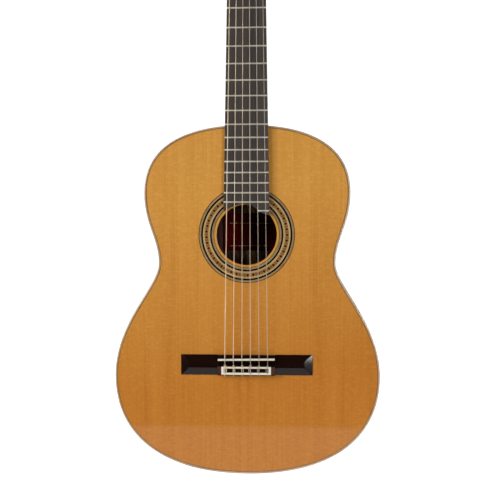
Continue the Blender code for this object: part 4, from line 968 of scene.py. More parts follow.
def make_back():
    """The two arched halves of the back and the inlay between them."""
    gap = BACK_INLAY
    half_line = [inset_point(s, INNER_EDGE) for s in outline_places()]
    half_line = [(x, z) for x, z in half_line if x > gap + 0.3 * MM]
    for side, word in SIDES:
        rows = []
        for x, z in half_line:
            across = [between(gap, x, t) for t in shares(20)]
            outer = [(side * a, back_face(a, z), z) for a in across]
            inner = [(side * a, back_face(a, z) - BACK_THICKNESS, z) for a in reversed(across)]
            rows.append(outer + inner)
        add_piece(f"back_half_{word}", skin(rows), "rosewood", ["back"])
    low_end, high_end = half_line[0][1] - 1 * MM, half_line[-1][1] + 0.2 * MM
    lines = ((-gap, -gap / 2, "dark"), (-gap / 2, gap / 2, "light"), (gap / 2, gap, "dark"))
    for number, (left, right, colour) in enumerate(lines, 1):
        rows = []
        for t in shares(30):
            z = between(low_end, high_end, t)
            y = back_face(0, z)
            inner = y - BACK_THICKNESS
            rows.append([(left, y, z), (right, y, z), (right, inner, z), (left, inner, z)])
        add_piece(f"back_inlay_{number}", skin(rows), "inlay_" + colour)


def make_label():
    """The blank paper label on the inside of the back, with two printed rules."""
    low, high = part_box("label")
    bottom = low.z + LABEL_BOTTOM
    paper = box((low.x, low.y, bottom), high)
    add_piece("label_sheet", paper, "label_paper", ["label"])
    rules = bmesh.new()
    for height in LABEL_RULES:
        corner = (-LABEL_RULE_HALF, low.y - 0.08 * MM, bottom + height)
        other = (LABEL_RULE_HALF, low.y + 0.1 * MM, bottom + height + 0.5 * MM)
        rules = merge(rules, box(corner, other))
    add_piece("label_rules", rules, "label_line")


def dress_inner_nodes():
    """Better wood on the CAD pieces inside the body, which keep their shapes."""
    linings = [f"lining_{face}_{word}" for face in ("top", "back") for _, word in SIDES]
    choices = {
        "spruce": ["soundhole_patch", *linings, *[f"fan_brace_{k}" for k in range(1, 8)]],
        "spruce_cross": ["harmonic_bar_lower", "harmonic_bar_upper"],
        "spruce_strip": ["back_centre_strip"],
        "mahogany_cross": ["tail_block", *[f"back_brace_{k}" for k in ("lower", "middle", "upper")]],
    }
    for material, names in choices.items():
        for name in names:
            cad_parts[name].material_slots[0].material = MATERIALS[material]


# ---- Neck, fretboard and nut
def board_half_width(z):
    slope = (WIDTH_AT_BODY - NUT_WIDTH) / (NUT_Z - BODY_LENGTH)
    return (NUT_WIDTH + slope * (NUT_Z - z)) / 2


def neck_ring(z, depth, roundness):
    """Points round the neck's section, from the treble edge round the back to the bass edge."""
    half = board_half_width(z)
    last = math.radians(89)
    if depth > HEEL_FLOOR:
        last = min(last, math.asin((HEEL_FLOOR / depth) ** (roundness / 2)))
    right = []
    for t in shares(22):
        angle = last * t
        x = half * math.cos(angle) ** (2 / roundness)
        right.append((x, FRONT_Y + depth * math.sin(angle) ** (2 / roundness)))
    return [(x, y, z) for x, y in mirrored(right)]


def neck_stations():
    """(z, depth, roundness) from the body's end, over the heel's curve and up to the nut."""
    start = BODY_LENGTH + GAP
    tip = start + CAP_LENGTH
    curve_end = tip + HEEL_CURVE
    head_start, end = NUT_Z - 38 * MM, NUT_Z + NUT_THICKNESS
    curve = (
        (tip, HEEL_FLOOR),
        (tip + 2 * MM, HEEL_FLOOR * 0.45),
        (tip + 6 * MM, NECK_DEPTH_BODY),
        (curve_end, NECK_DEPTH_BODY),
    )
    thickest = HEAD_THICKNESS / math.cos(HEAD_ANGLE)
    stations = []
    for t in shares(12):
        depth = HEEL_FLOOR + HEEL_TAPER * (1 - t * t)
        stations.append((between(start, tip, t), depth, HEEL_ROUNDNESS))
    for t in shares(32)[1:]:
        stations.append((*bezier(*curve, t), between(HEEL_ROUNDNESS, NECK_ROUNDNESS, t)))
    for t in shares(12)[1:]:
        depth = between(NECK_DEPTH_BODY, NECK_DEPTH_NUT, t)
        stations.append((between(curve_end, head_start, t), depth, NECK_ROUNDNESS))
    for t in shares(20)[1:]:
        share = (t * t * (3 - 2 * t)) ** 1.3
        depth = between(NECK_DEPTH_NUT, thickest, share)
        roundness = between(NECK_ROUNDNESS, HEAD_SQUARENESS, share)
        stations.append((between(head_start, end, t), depth, roundness))
    return stations


def make_neck():
    """The neck's shaft and heel, the heel's cap, and the block inside the body."""
    rings = [neck_ring(*station) for station in neck_stations()]
    add_piece("neck_shaft", skin(rings), "mahogany", ["neck"], sharp=45)
    front = FRONT_Y + TOP_THICKNESS + 0.3 * MM
    floor = back_face(BLOCK_HALF_WIDTH, BODY_LENGTH) - BACK_THICKNESS - 0.3 * MM
    low_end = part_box("neck")[0].z
    high_end = BODY_LENGTH - RIB_THICKNESS - 0.2 * MM
    foot = floor - 14 * MM
    side = [
        (front, high_end - BLOCK_LENGTH),
        (front, high_end),
        (floor, high_end),
        (floor, low_end),
        (foot, low_end),
        (foot, high_end - BLOCK_LENGTH),
    ]
    block = prism(side, "X", (-BLOCK_HALF_WIDTH, BLOCK_HALF_WIDTH))
    add_piece("neck_block", block, "mahogany_cross", bevel=0.8 * MM)
    right = []
    for step in shares(24):
        t = math.sin(math.pi / 2 * step)
        z = BODY_LENGTH + 0.3 * MM + CAP_LENGTH * t
        depth = HEEL_FLOOR + HEEL_TAPER * (1 - t * t)
        share = max(0.0, 1 - (HEEL_FLOOR / depth) ** HEEL_ROUNDNESS) ** (1 / HEEL_ROUNDNESS)
        right.append((board_half_width(z) * share, z))
    outline = mirrored(right)
    levels = [FRONT_Y + depth for depth in (HEEL_FLOOR, HEEL_FLOOR + 0.5 * MM, HEEL_DEPTH)]
    add_piece("heel_line", prism(outline, "Y", levels[:2]), "inlay_light")
    cap = prism(outline, "Y", levels[1:])
    add_piece("heel_cap_plate", cap, "rosewood", ["heel_cap"], bevel=0.5 * MM, bevel_angle=60)


def board_end_curve():
    """The board's end over the soundhole, from the bass edge to the treble edge."""
    radius, crest = mm(55, 376.3)
    curve = []
    for t in shares(24):
        x = between(-36, 4, t) * MM
        curve.append((x, crest - radius + math.sqrt(radius * radius - x * x)))
    drop = (curve[-1], *mm((13, 373), (14, 362.5), (36, 359.8)))
    curve += [bezier(*drop, t) for t in shares(24)[1:]]
    kept = []
    for here, there in zip(curve, curve[1:]):
        for sign in (-1, 1):
            gap_here = sign * here[0] - board_half_width(here[1])
            gap_there = sign * there[0] - board_half_width(there[1])
            if gap_here * gap_there < 0:
                t = gap_here / (gap_here - gap_there)
                kept.append(tuple(between(a, b, t) for a, b in zip(here, there)))
        if abs(there[0]) < board_half_width(there[1]):
            kept.append(there)
    return kept


def make_fretboard():
    """The ebony board, and its frets with rounded crowns and bevelled ends."""
    top = FRONT_Y - BOARD_THICKNESS
    outline = board_end_curve() + [(NUT_WIDTH / 2, NUT_Z), (-NUT_WIDTH / 2, NUT_Z)]
    board = prism(outline, "Y", (top, FRONT_Y - 0.02 * MM))
    add_piece("board_wood", board, "ebony", ["fretboard"], bevel=0.35 * MM, bevel_angle=50)
    section = [(c * FRET_WIDTH / 2, s ** 0.8 * FRET_HEIGHT) for c, s in half_turn(8)]
    section += [(-FRET_WIDTH / 2, -0.3 * MM), (FRET_WIDTH / 2, -0.3 * MM)]
    bevels = ((0.0, 0.25), (0.35 * MM, 0.75), (0.9 * MM, 1.0))  # (inset, share of the height)
    for number in range(1, FRET_COUNT + 1):
        z = NUT_Z - SCALE_LENGTH * (1 - 2 ** (-number / 12))
        half = board_half_width(z) - 0.1 * MM
        low = LAST_FRET_START if number == FRET_COUNT else -half
        ends = [(low + inset, share) for inset, share in bevels]
        ends += [(half - inset, share) for inset, share in reversed(bevels)]
        rows = [[(x, top - h * (share if h > 0 else 1), z + u) for u, h in section] for x, share in ends]
        add_piece(f"fret_{number:02d}", skin(rows), "nickel_silver", sharp=50)


def string_x(index, spread):
    """X of a string, from the bass side, where the six strings spread that wide."""
    return spread * (index / 5 - 0.5)


def make_nut():
    """The bone nut, with a round groove for each string."""
    half = NUT_WIDTH / 2
    crown = NUT_HEIGHT + 1.2 * MM
    top = [(-half, crown - 1.2 * MM), (-half + 0.8 * MM, crown - 0.3 * MM)]
    for i in range(6):
        x = string_x(i, STRING_SPREAD_NUT)
        radius = STRING_DIAMETERS[i] / 2 + 0.1 * MM
        top.append((x - radius, crown))
        top += [(x - radius * c, NUT_HEIGHT - radius * s) for c, s in half_turn(6)]
        top.append((x + radius, crown))
    top += [(half - 0.8 * MM, crown - 0.3 * MM), (half, crown - 1.2 * MM)]
    section = [(x, FRONT_Y - h) for x, h in [(half, 0.1 * MM), (-half, 0.1 * MM)] + top]
    nut = prism(section, "Z", (NUT_Z + GAP, NUT_Z + NUT_THICKNESS))
    add_piece("nut_bone", nut, "bone", ["nut"], bevel=0.2 * MM)


# ---- Head and tuning machines
def head_matrix():
    """The head's own frame: X across, Y along the head from the nut, Z out of its front."""
    along = Vector((0, math.sin(HEAD_ANGLE), math.cos(HEAD_ANGLE)))
    out = Vector((0, -math.cos(HEAD_ANGLE), math.sin(HEAD_ANGLE)))
    matrix = Matrix((Vector((1, 0, 0)), along, out)).transposed().to_4x4()
    matrix.translation = Vector((0, FRONT_Y, NUT_Z + NUT_THICKNESS))
    return matrix


def head_outline():
    """Half of the head's outline as (x, distance along), from its foot to the crest."""
    base, wide = NUT_WIDTH / 2, HEAD_HALF_WIDTH
    flare = ((base, 6 * MM), (base, 16 * MM), (wide, 12 * MM), (wide, 26 * MM))
    neck_of_crest = HEAD_LENGTH - 17 * MM
    crest = (
        (wide - 7 * MM, neck_of_crest),
        (18 * MM, neck_of_crest),
        (14 * MM, HEAD_LENGTH),
        (0, HEAD_LENGTH),
    )
    shoulder = ((wide, HEAD_LENGTH - 26 * MM), (wide, HEAD_LENGTH - 20.5 * MM), crest[0])
    outline = [(base, -12 * MM)] + [bezier(*flare, t) for t in shares(16)]
    for t in shares(6):
        weights = ((1 - t) ** 2, 2 * (1 - t) * t, t * t)
        outline.append(tuple(sum(w * p[i] for w, p in zip(weights, shoulder)) for i in (0, 1)))
    return outline + [bezier(*crest, t) for t in shares(16)[1:]]


def make_head_layer(name, back, front, material, replaces=()):
    """A layer of the head, cut square against the neck, with its slots and ramps open."""
    matrix = head_matrix()
    plate = prism(mirrored(head_outline()), "Z", (back, front))
    layer = add_piece(name, plate, material, replaces, matrix=matrix)
    end = NUT_Z + NUT_THICKNESS + 0.02 * MM
    cut(layer, box((-60 * MM, -90 * MM, NUT_Z - 50 * MM), (60 * MM, 90 * MM, end)))
    radius = (SLOT_OUTER - SLOT_INNER) / 2
    for side in (-1, 1):
        centre = side * (SLOT_OUTER + SLOT_INNER) / 2
        far = [(centre + radius * c, SLOT_END - radius + radius * s) for c, s in half_turn(18)]
        near = [(centre - radius * c, SLOT_START + radius - radius * s) for c, s in half_turn(18)]
        cut(layer, prism(far + near, "Z", mm(-30, 20)), matrix)
        cut(layer, prism(RAMP, "X", (centre - radius, centre + radius)), matrix)
        if name == "head_wood":
            cut_bores(layer, side)
    return layer


def cut_bores(head, side):
    """Holes of the three rollers on one side: narrow in the middle, wide from the slot outwards."""
    step = SLOT_INNER + 0.5 * MM
    pin, body = PIN_RADIUS + 0.2 * MM, ROLLER_RADIUS + 0.2 * MM
    hole = ((2.2 * MM, pin), (step, pin), (step + 0.1 * MM, body), (HEAD_HALF_WIDTH + 5 * MM, body))
    for row in range(3):
        cut(head, turned(hole, 32, side), roller_matrix(row))


def make_head():
    """The slotted head, its veneer and a thin line between them."""
    head = make_head_layer("head_wood", -HEAD_THICKNESS, 0, "head_mahogany", ["head"])
    make_head_layer("head_line", 0, HEAD_LINE, "inlay_light")
    veneer = make_head_layer("head_face", HEAD_LINE, VENEER_THICKNESS, "head_rosewood", ["head_veneer"])
    for layer in (head, veneer):
        round_edges(layer, 0.5 * MM, 60)


def roller_matrix(row):
    """Frame of a roller: its axis is local X, and its local Y runs along the head."""
    return head_matrix() @ Matrix.Translation((0, FIRST_ROLLER + row * ROLLER_SPACING, ROLLER_DEPTH))


def worm_place(row):
    """How far along the head a worm's axis is."""
    return FIRST_ROLLER + row * ROLLER_SPACING - PITCH_RADIUS - WORM_PITCH_RADIUS


def worm_matrix(side, row):
    """Frame of a worm: its axis is local Z, out of the head's front, and X faces the gear."""
    place = Matrix.Translation((side * GEAR_X, worm_place(row), 0))
    return head_matrix() @ place @ Matrix.Rotation(math.pi / 2, 4, "Z")


def gear_section(twist):
    """Points round the gear, with a gap between two teeth facing the worm."""
    flanks = []
    for side in (-1, 1):
        for share in (-1.0, 0.0, 0.75, 1.0)[::-side]:
            height = ADDENDUM * share if share > 0 else DEDENDUM * share
            soft = 0.1 * MM if share == 1.0 else 0.0
            flanks.append((side, PITCH_RADIUS + height, TOOTH_HALF - height * FLANK_SLOPE - soft))
    points = []
    for tooth in range(GEAR_TEETH):
        middle = math.pi + TAU * (tooth + 0.5) / GEAR_TEETH + twist
        for side, radius, half in flanks:
            angle = middle + side * half / PITCH_RADIUS
            points.append((radius * math.cos(angle), radius * math.sin(angle)))
    return points


def make_screw(name, kind, surface, side, matrix, turn=0.0, body="guitar"):
    """A slotted screw whose head stands on a surface that faces along local X."""
    *lengths, sides = kind
    sunk, rise, radius, crown, slot_length, slot_width, slot_floor = mm(*lengths)
    profile = [
        (surface - sunk, radius),
        (surface + rise, radius),
        (surface + rise + 0.3 * MM, radius - 0.5 * MM),
        (surface + rise + 0.4 * MM, crown),
    ]
    screw = add_piece(name, turned(profile, sides, side), "screw", (), body, matrix)
    slot = box((-1 * MM, -slot_length, -slot_width), (1 * MM, slot_length, slot_width))
    middle = surface + slot_floor + 1 * MM
    place = Matrix.Translation((side * middle, 0, 0)) @ Matrix.Rotation(turn, 4, "X")
    cut(screw, slot, matrix @ place)


def make_roller(number, side, row):
    """A string roller with its bone sleeve, gear, gear screw and the turns of string on it."""
    body, matrix = f"capstan_{number}", roller_matrix(row)
    barrel = [
        (SLOT_INNER + 1.05 * MM, ROLLER_RADIUS - 0.3 * MM),
        (SLOT_INNER + 1.35 * MM, ROLLER_RADIUS),
        (HEAD_HALF_WIDTH - 0.6 * MM, ROLLER_RADIUS),
        (HEAD_HALF_WIDTH - 0.3 * MM, ROLLER_RADIUS - 0.3 * MM),
    ]
    sleeve = turned(barrel, 40, side)
    add_piece(f"roller_{number}_sleeve", sleeve, "roller_bone", [f"roller_{number}"], body, matrix)
    half = GEAR_THICKNESS / 2
    pin = [(2.6 * MM, PIN_RADIUS), (SLOT_INNER + 1.2 * MM, PIN_RADIUS)]
    journal = [(HEAD_HALF_WIDTH - 0.4 * MM, JOURNAL_RADIUS), (GEAR_X - half, JOURNAL_RADIUS)]
    spindle = merge(turned(pin, 24, side), turned(journal, 32, side))
    add_piece(f"roller_{number}_spindle", spindle, "brass", (), body, matrix)
    lead = WORM_PITCH / (TAU * WORM_PITCH_RADIUS)
    shoulder = half - 0.25 * MM
    rows = []
    for offset, size in ((-half, 0.96), (-shoulder, 1.0), (0.0, 1.0), (shoulder, 1.0), (half, 0.96)):
        section = gear_section(lead * offset / PITCH_RADIUS)
        rows.append([(side * GEAR_X + offset, y * size, z * size) for y, z in section])
    add_piece(f"gear_{number}", skin(rows), "brass", (), body, matrix, sharp=40)
    make_screw(f"gear_screw_{number}", GEAR_SCREW, GEAR_X + half, side, matrix, body=body)
    make_turns(number, side, matrix)


def string_look(number):
    return "silver_wound" if number > 3 else "nylon"


def make_turns(number, side, matrix):
    """The turns of string on a roller, with the tucked end."""
    radius = STRING_DIAMETERS[6 - number] / 2
    centre = side * WINDING_PLACES[number] * MM
    reach = ROLLER_RADIUS + radius + 0.02 * MM
    path = []
    for t in shares(WINDING_TURNS * 28):
        a = TAU * WINDING_TURNS * t
        x = centre + side * (t - 0.5) * WINDING_TURNS * 2 * radius * 1.06
        path.append(Vector((x, reach * math.cos(a), reach * math.sin(a))))
    path.append(path[-1] + Vector((side * 2.2 * radius, -1.5 * radius, 3.0 * radius)))
    turns = tube(path, radius, 10)
    name = f"string_{number}_turns"
    add_piece(name, turns, string_look(number), (), f"capstan_{number}", matrix, sharp=60)


def make_thread(root):
    """The worm's thread, which fades into the root at both ends."""
    rows = []
    for t in shares(WORM_TURNS * 30):
        turn = WORM_TURNS * t
        c, s = math.cos(TAU * turn), math.sin(TAU * turn)
        fade = max(min(1.0, turn * 3, (WORM_TURNS - turn) * 3), 0.04)
        centre = ROLLER_DEPTH + WORM_PITCH * (turn - WORM_TURNS / 2)
        root_half = (TOOTH_HALF + ADDENDUM * FLANK_SLOPE) * fade
        crest_half = (TOOTH_HALF - ADDENDUM * FLANK_SLOPE) * fade
        crest = root + (WORM_PITCH_RADIUS + ADDENDUM - root) * fade
        section = (
            (root - 0.2 * MM, centre - root_half),
            (crest, centre - crest_half),
            (crest, centre + crest_half),
            (root - 0.2 * MM, centre + root_half),
        )
        rows.append([(r * c, r * s, h) for r, h in section])
    return skin(rows)


def make_button_shape():
    """A flat oval button, wide in the middle and narrower where the shaft enters."""
    rows = []
    for t in shares(28):
        bulge = math.sin(math.pi * min(1.0, 0.06 + t * 0.94) ** 0.72) ** 0.62
        waist = 0.30 + 0.70 * bulge
        width = BUTTON_HALF_WIDTH * (waist if t > 0.04 else waist * (t / 0.04) ** 0.5 * 0.9 + 0.05)
        slim = BUTTON_HALF_THICKNESS * (0.55 + 0.45 * bulge) * min(1.0, (t / 0.12 + 0.02) ** 0.5)
        z = between(BUTTON_START - BUTTON_LENGTH, BUTTON_START, t)
        ring = []
        for c, s in full_turn(40):
            x, y = math.copysign(abs(c) ** 0.9, c), math.copysign(abs(s) ** 0.9, s)
            ring.append((width * x, min(slim, width) * y, z))
        rows.append(ring)
    return skin(rows)


def make_worm(number, side, row):
    """A worm on its shaft and a pearl button, which turn together."""
    body, matrix = f"tuner_{number}", worm_matrix(side, row)
    first, last = ROLLER_DEPTH - WORM_HALF, ROLLER_DEPTH + WORM_HALF
    root = WORM_PITCH_RADIUS - ADDENDUM - 0.1 * MM
    tip = last + LUG_THICKNESS + 0.9 * MM
    shaft = [
        (BUTTON_START - 3 * MM, SHAFT_RADIUS),
        (first - 0.6 * MM, SHAFT_RADIUS),
        (first + 0.1 * MM, root),
        (last - 0.1 * MM, root),
        (last + 0.6 * MM, SHAFT_RADIUS),
        (tip, SHAFT_RADIUS),
        (tip + 0.3 * MM, SHAFT_RADIUS * 0.6),
    ]
    worm = merge(turned(shaft, 28, axis="Z"), make_thread(root))
    add_piece(f"worm_{number}", worm, "brass", [f"worm_and_button_{number}"], body, matrix)
    add_piece(f"button_{number}", make_button_shape(), "pearl", (), body, matrix, sharp=50)
    steps = mm((-1.2, 2.9), (0.1, 3.1), (0.6, 2.6), (0.9, 1.4))
    collar = turned([(BUTTON_START + along, radius) for along, radius in steps], 28, axis="Z")
    add_piece(f"button_collar_{number}", collar, "brass", (), body, matrix)


def make_plate(word, side):
    """The shaped plate of three machines, with its bearing lugs and screws."""
    matrix = head_matrix()
    low = FIRST_ROLLER - PLATE_MARGINS[0]
    high = FIRST_ROLLER + 2 * ROLLER_SPACING + PLATE_MARGINS[1]
    outline = []
    for t in shares(96):
        u = between(low, high, t)
        end = min(u - low, high - u) / (7 * MM)
        taper = math.sqrt(max(0.0, 1 - max(0.0, 1 - end) ** 2))
        wave = 0.86 + 0.14 * math.cos(TAU * (u - FIRST_ROLLER) / ROLLER_SPACING)
        outline.append((u, max(PLATE_HEIGHT / 2 * wave * taper, 0.4 * MM)))
    polygon = [(u, ROLLER_DEPTH + h) for u, h in outline]
    polygon += [(u, ROLLER_DEPTH - h) for u, h in reversed(outline)]
    bar = prism(polygon, "X", (side * HEAD_HALF_WIDTH, side * PLATE_FACE))
    name = f"tuner_plate_{word}"
    plate = add_piece(
        f"{name}_brass", bar, "gilt", [name], matrix=matrix, bevel=0.25 * MM, bevel_angle=50
    )
    hole = [(HEAD_HALF_WIDTH - 1 * MM, 3.2 * MM), (PLATE_FACE + 1 * MM, 3.2 * MM)]
    for row in range(3):
        cut(plate, turned(hole, 32, side), roller_matrix(row))
        make_lugs(name, side, row)
    places = [low + 4.5 * MM, high - 4.5 * MM]
    places += [FIRST_ROLLER + (row + 0.42) * ROLLER_SPACING for row in range(2)]
    for number, u in enumerate(places, 1):
        spot = matrix @ Matrix.Translation((0, u, ROLLER_DEPTH))
        screw = f"plate_screw_{word}_{number}"
        make_screw(screw, PLATE_SCREW, PLATE_FACE, side, spot, 0.7 * number)


def make_lugs(plate, side, row):
    """The two round-ended lugs that hold a worm's shaft."""
    u = worm_place(row)
    root = side * (PLATE_FACE - 0.4 * MM)
    centre = side * (LUG_END - LUG_HALF_WIDTH)
    shape = [(root, u + LUG_HALF_WIDTH), (root, u - LUG_HALF_WIDTH)]
    shape += [(centre + side * LUG_HALF_WIDTH * s, u - LUG_HALF_WIDTH * c) for c, s in half_turn(12)]
    bore = SHAFT_RADIUS + 0.12 * MM
    for end, word in ((-1, "rear"), (1, "front")):
        inner = ROLLER_DEPTH + end * (WORM_HALF + 0.9 * MM)
        bar = prism(shape, "Z", sorted((inner, inner + end * LUG_THICKNESS)))
        lug = add_piece(
            f"{plate}_lug_{row + 1}_{word}", bar, "gilt", matrix=head_matrix(),
            bevel=0.2 * MM, bevel_angle=50,
        )
        shaft = turned([(-40 * MM, bore), (10 * MM, bore)], 24, axis="Z")
        cut(lug, shaft, worm_matrix(side, row))


def make_tuners():
    for side, word in SIDES:
        make_plate(word, side)
    for number, (side, row) in TUNERS.items():
        make_roller(number, side, row)
        make_worm(number, side, row)


# ---- Bridge, saddle and strings
def above_top(height):
    return FRONT_Y - height


def saddle_matrix():
    """Frame of the saddle: turned a little, so that the bass strings are longer."""
    turn = Matrix.Rotation(-SADDLE_SLANT, 4, "Y")
    return Matrix.Translation((0, FRONT_Y, SADDLE_Z)) @ turn


def make_bridge():
    """Two hip-bevelled wings, the middle with its slot and tie block, and the saddle."""
    for side, word in SIDES[::-1]:
        make_wing(side, word)
    rear, front, top = BRIDGE_REAR + 0.1 * MM, BRIDGE_FRONT - GAP, SADDLE_BLOCK_HEIGHT
    profile = [
        (front, 0.02 * MM),
        (front, top - 1.4 * MM),
        (front - 0.4 * MM, top - 0.4 * MM),
        (front - 1.35 * MM, top),
        (SADDLE_Z - SADDLE_THICKNESS / 2 - 1.8 * MM, top),
        (TIE_BLOCK_FRONT + 2.5 * MM, TIE_CHANNEL_HEIGHT),
        (TIE_BLOCK_FRONT, TIE_CHANNEL_HEIGHT),
        (TIE_BLOCK_FRONT, TIE_BLOCK_HEIGHT),
        (rear, TIE_BLOCK_HEIGHT),
        (rear, 0.02 * MM),
    ]
    section = [(above_top(h), z) for z, h in profile]
    block = prism(section, "X", (-CENTRE_HALF_LENGTH, CENTRE_HALF_LENGTH))
    middle = add_piece("bridge_middle", block, "bridge_wood", bevel=0.2 * MM)
    slot_half = SADDLE_THICKNESS / 2 + GAP
    reach = CENTRE_HALF_LENGTH + 2 * MM
    slot = box((-reach, -20 * MM, -slot_half), (reach, -SADDLE_SLOT_HEIGHT, slot_half))
    cut(middle, slot, saddle_matrix())
    hole_y = above_top(TIE_HOLE_HEIGHT)
    for i in range(6):
        x = string_x(i, STRING_SPREAD_SADDLE)
        radius = STRING_DIAMETERS[i] / 2 + 0.3 * MM
        circle = [(x + radius * c, hole_y + radius * s) for c, s in full_turn(16)]
        cut(middle, prism(circle, "Z", (BRIDGE_REAR - 3 * MM, TIE_BLOCK_FRONT + 1 * MM)))
    make_tie_trim()
    half, foot = SADDLE_THICKNESS / 2, SADDLE_SLOT_HEIGHT + 0.1 * MM
    shape = [(-foot, half)]
    shape += [(-(SADDLE_HEIGHT - half + half * s), half * c) for c, s in half_turn(12)]
    shape.append((-foot, -half))
    length = CENTRE_HALF_LENGTH - 0.5 * MM
    add_piece(
        "saddle_bone", prism(shape, "X", (-length, length)), "bone", ["saddle"],
        matrix=saddle_matrix(), bevel=0.3 * MM, bevel_angle=60,
    )


def make_wing(side, word):
    """A wing with a rounded top, a long bevel front and rear, and a sloping end."""
    half = (BRIDGE_FRONT - BRIDGE_REAR) / 2
    middle = BRIDGE_REAR + half
    edge = [(0.02 * MM, -half), (WING_EDGE_HEIGHT, -half)]
    crown = []
    for t in shares(12):
        share = 2 * t - 1
        crown.append((WING_HEIGHT - WING_CROWN * share * share, (half - WING_BEVEL) * share))
    profile = edge + crown + [(h, -z) for h, z in reversed(edge)]
    section = [(above_top(h), middle + z) for h, z in profile]
    outer = side * BRIDGE_HALF_LENGTH
    bar = prism(section, "X", (side * (CENTRE_HALF_LENGTH - 0.5 * MM), outer))
    wing = add_piece(f"bridge_wing_{word}", bar, "bridge_wood", ["bridge"])
    slope = math.atan((WING_HEIGHT - WING_END_HEIGHT) / WING_END_LENGTH)
    plane = box((-60 * MM, -40 * MM, -60 * MM), (60 * MM, 0, 60 * MM))
    place = Matrix.Translation((outer, above_top(WING_END_HEIGHT), middle))
    cut(wing, plane, place @ Matrix.Rotation(side * slope, 4, "Z"))
    round_edges(wing, 0.35 * MM, 11, segments=3, harden=True)


def make_tie_trim():
    """The bone frame on the tie block, and the reddish end-grain cheeks beside it."""
    front_width, rear_width, end_width = TRIM_WIDTHS
    top, bottom = above_top(TRIM_TOP), above_top(TIE_BLOCK_HEIGHT)
    rear, front, half = TRIM_REAR, TIE_BLOCK_FRONT, TRIM_HALF_LENGTH
    inner_rear, inner_front = rear + rear_width, front - front_width
    strips = {
        "rear": ((-half, rear), (half, inner_rear)),
        "front": ((-half, inner_front), (half, front)),
        "bass": ((-half, inner_rear), (-half + end_width, inner_front)),
        "treble": ((half - end_width, inner_rear), (half, inner_front)),
    }
    for word, ((x0, z0), (x1, z1)) in strips.items():
        strip = box((x0, top, z0), (x1, bottom, z1))
        replaced = ["tie_block_trim"] if word == "front" else []
        add_piece(f"tie_trim_{word}", strip, "bone", replaced, bevel=0.25 * MM)
    corner = (-half + end_width, top + 0.25 * MM, inner_rear)
    add_piece("tie_trim_inlay", box(corner, (half - end_width, bottom, inner_front)), "bridge_wood")
    for side, word in SIDES[::-1]:
        left, right = sorted((side * half, side * (CENTRE_HALF_LENGTH - 0.4 * MM)))
        corner = (left, bottom - 0.35 * MM, rear + 0.2 * MM)
        cheek = box(corner, (right, bottom + 0.5 * MM, front - 0.2 * MM))
        add_piece(f"tie_cheek_{word}", cheek, "cheek_wood", bevel=0.3 * MM)


def string_route(index):
    """Corners of a string's path from its tie to the roller, as in the CAD model."""
    radius = STRING_DIAMETERS[index] / 2
    x = string_x(index, STRING_SPREAD_SADDLE)
    over_trim = TRIM_TOP + radius + 0.03 * MM
    saddle_z = SADDLE_Z + x * math.tan(SADDLE_SLANT)
    saddle_top = SADDLE_HEIGHT + radius + 0.02 * MM
    behind = BRIDGE_REAR - radius - 0.5 * MM
    tie = [
        (TIE_BLOCK_FRONT + radius + 1.0 * MM, over_trim - 2.6 * MM),
        (TIE_BLOCK_FRONT + 0.5 * MM, over_trim),
        (BRIDGE_REAR + 0.6 * MM, over_trim),
        (behind, over_trim - 1.6 * MM),
        (behind, TIE_HOLE_HEIGHT + 1.4 * MM),
        (BRIDGE_REAR - 0.1 * MM, TIE_HOLE_HEIGHT),
        (TIE_BLOCK_FRONT + 0.6 * MM, TIE_HOLE_HEIGHT),
        (saddle_z - 2.0 * MM, saddle_top - 0.9 * MM),
        (saddle_z, saddle_top),
    ]
    points = [Vector((x, above_top(h), z)) for z, h in tie]
    nut_x = string_x(index, STRING_SPREAD_NUT)
    start = Vector((nut_x, above_top(NUT_HEIGHT - GAP), NUT_Z + NUT_THICKNESS - 0.6 * MM))
    points += [Vector((nut_x, above_top(NUT_HEIGHT + GAP), NUT_Z + 0.8 * MM)), start]
    number = 6 - index
    side, row = TUNERS[number]
    reach = ROLLER_RADIUS + radius + GAP
    centre = roller_matrix(row).translation
    to_start = Vector((0, start.y - centre.y, start.z - centre.z))
    angle = math.acos(reach / to_start.length)
    direction = Matrix.Rotation(-angle, 3, "X") @ to_start.normalized()
    axis = Vector((side * WINDING_PLACES[number] * MM, centre.y, centre.z))
    return points + [axis + direction * reach]


def make_strings():
    """Six strings, each with the knot round it in front of the tie block and its tucked tail."""
    for index, diameter in enumerate(STRING_DIAMETERS):
        number, radius = 6 - index, diameter / 2
        route = string_route(index)
        wire = tube(rounded_path(route, 0.9 * MM), radius)
        name = f"string_{number}"
        add_piece(f"{name}_wire", wire, string_look(number), [name], sharp=60)
        make_knot(name, number, radius, route[0])


def make_knot(name, number, radius, start):
    """The loop that locks the string's tie, and the tail laid over the block."""
    lift = radius * 2.1
    loop = []
    for t in shares(24):
        a = TAU * t * 1.15 - 0.4
        across, height = lift * math.cos(a) * 1.1, -lift * 0.4 + lift * math.sin(a)
        loop.append(start + Vector((across, height, 0.35 * MM * t)))
    top = above_top(TRIM_TOP + radius)
    away = 1 if number > 3 else -1
    tail = [
        Vector((start.x + away * 1.4 * MM, start.y - radius, TIE_BLOCK_FRONT + radius + 0.7 * MM)),
        Vector((start.x + away * 1.8 * MM, top, TIE_BLOCK_FRONT - 0.4 * MM)),
        Vector((start.x + away * 2.3 * MM, top, BRIDGE_REAR + 5.0 * MM)),
    ]
    knot = merge(tube(loop, radius * 0.95, 10), tube(rounded_path(tail, 0.8 * MM), radius * 0.9, 10))
    add_piece(f"{name}_knot", knot, string_look(number), sharp=60)


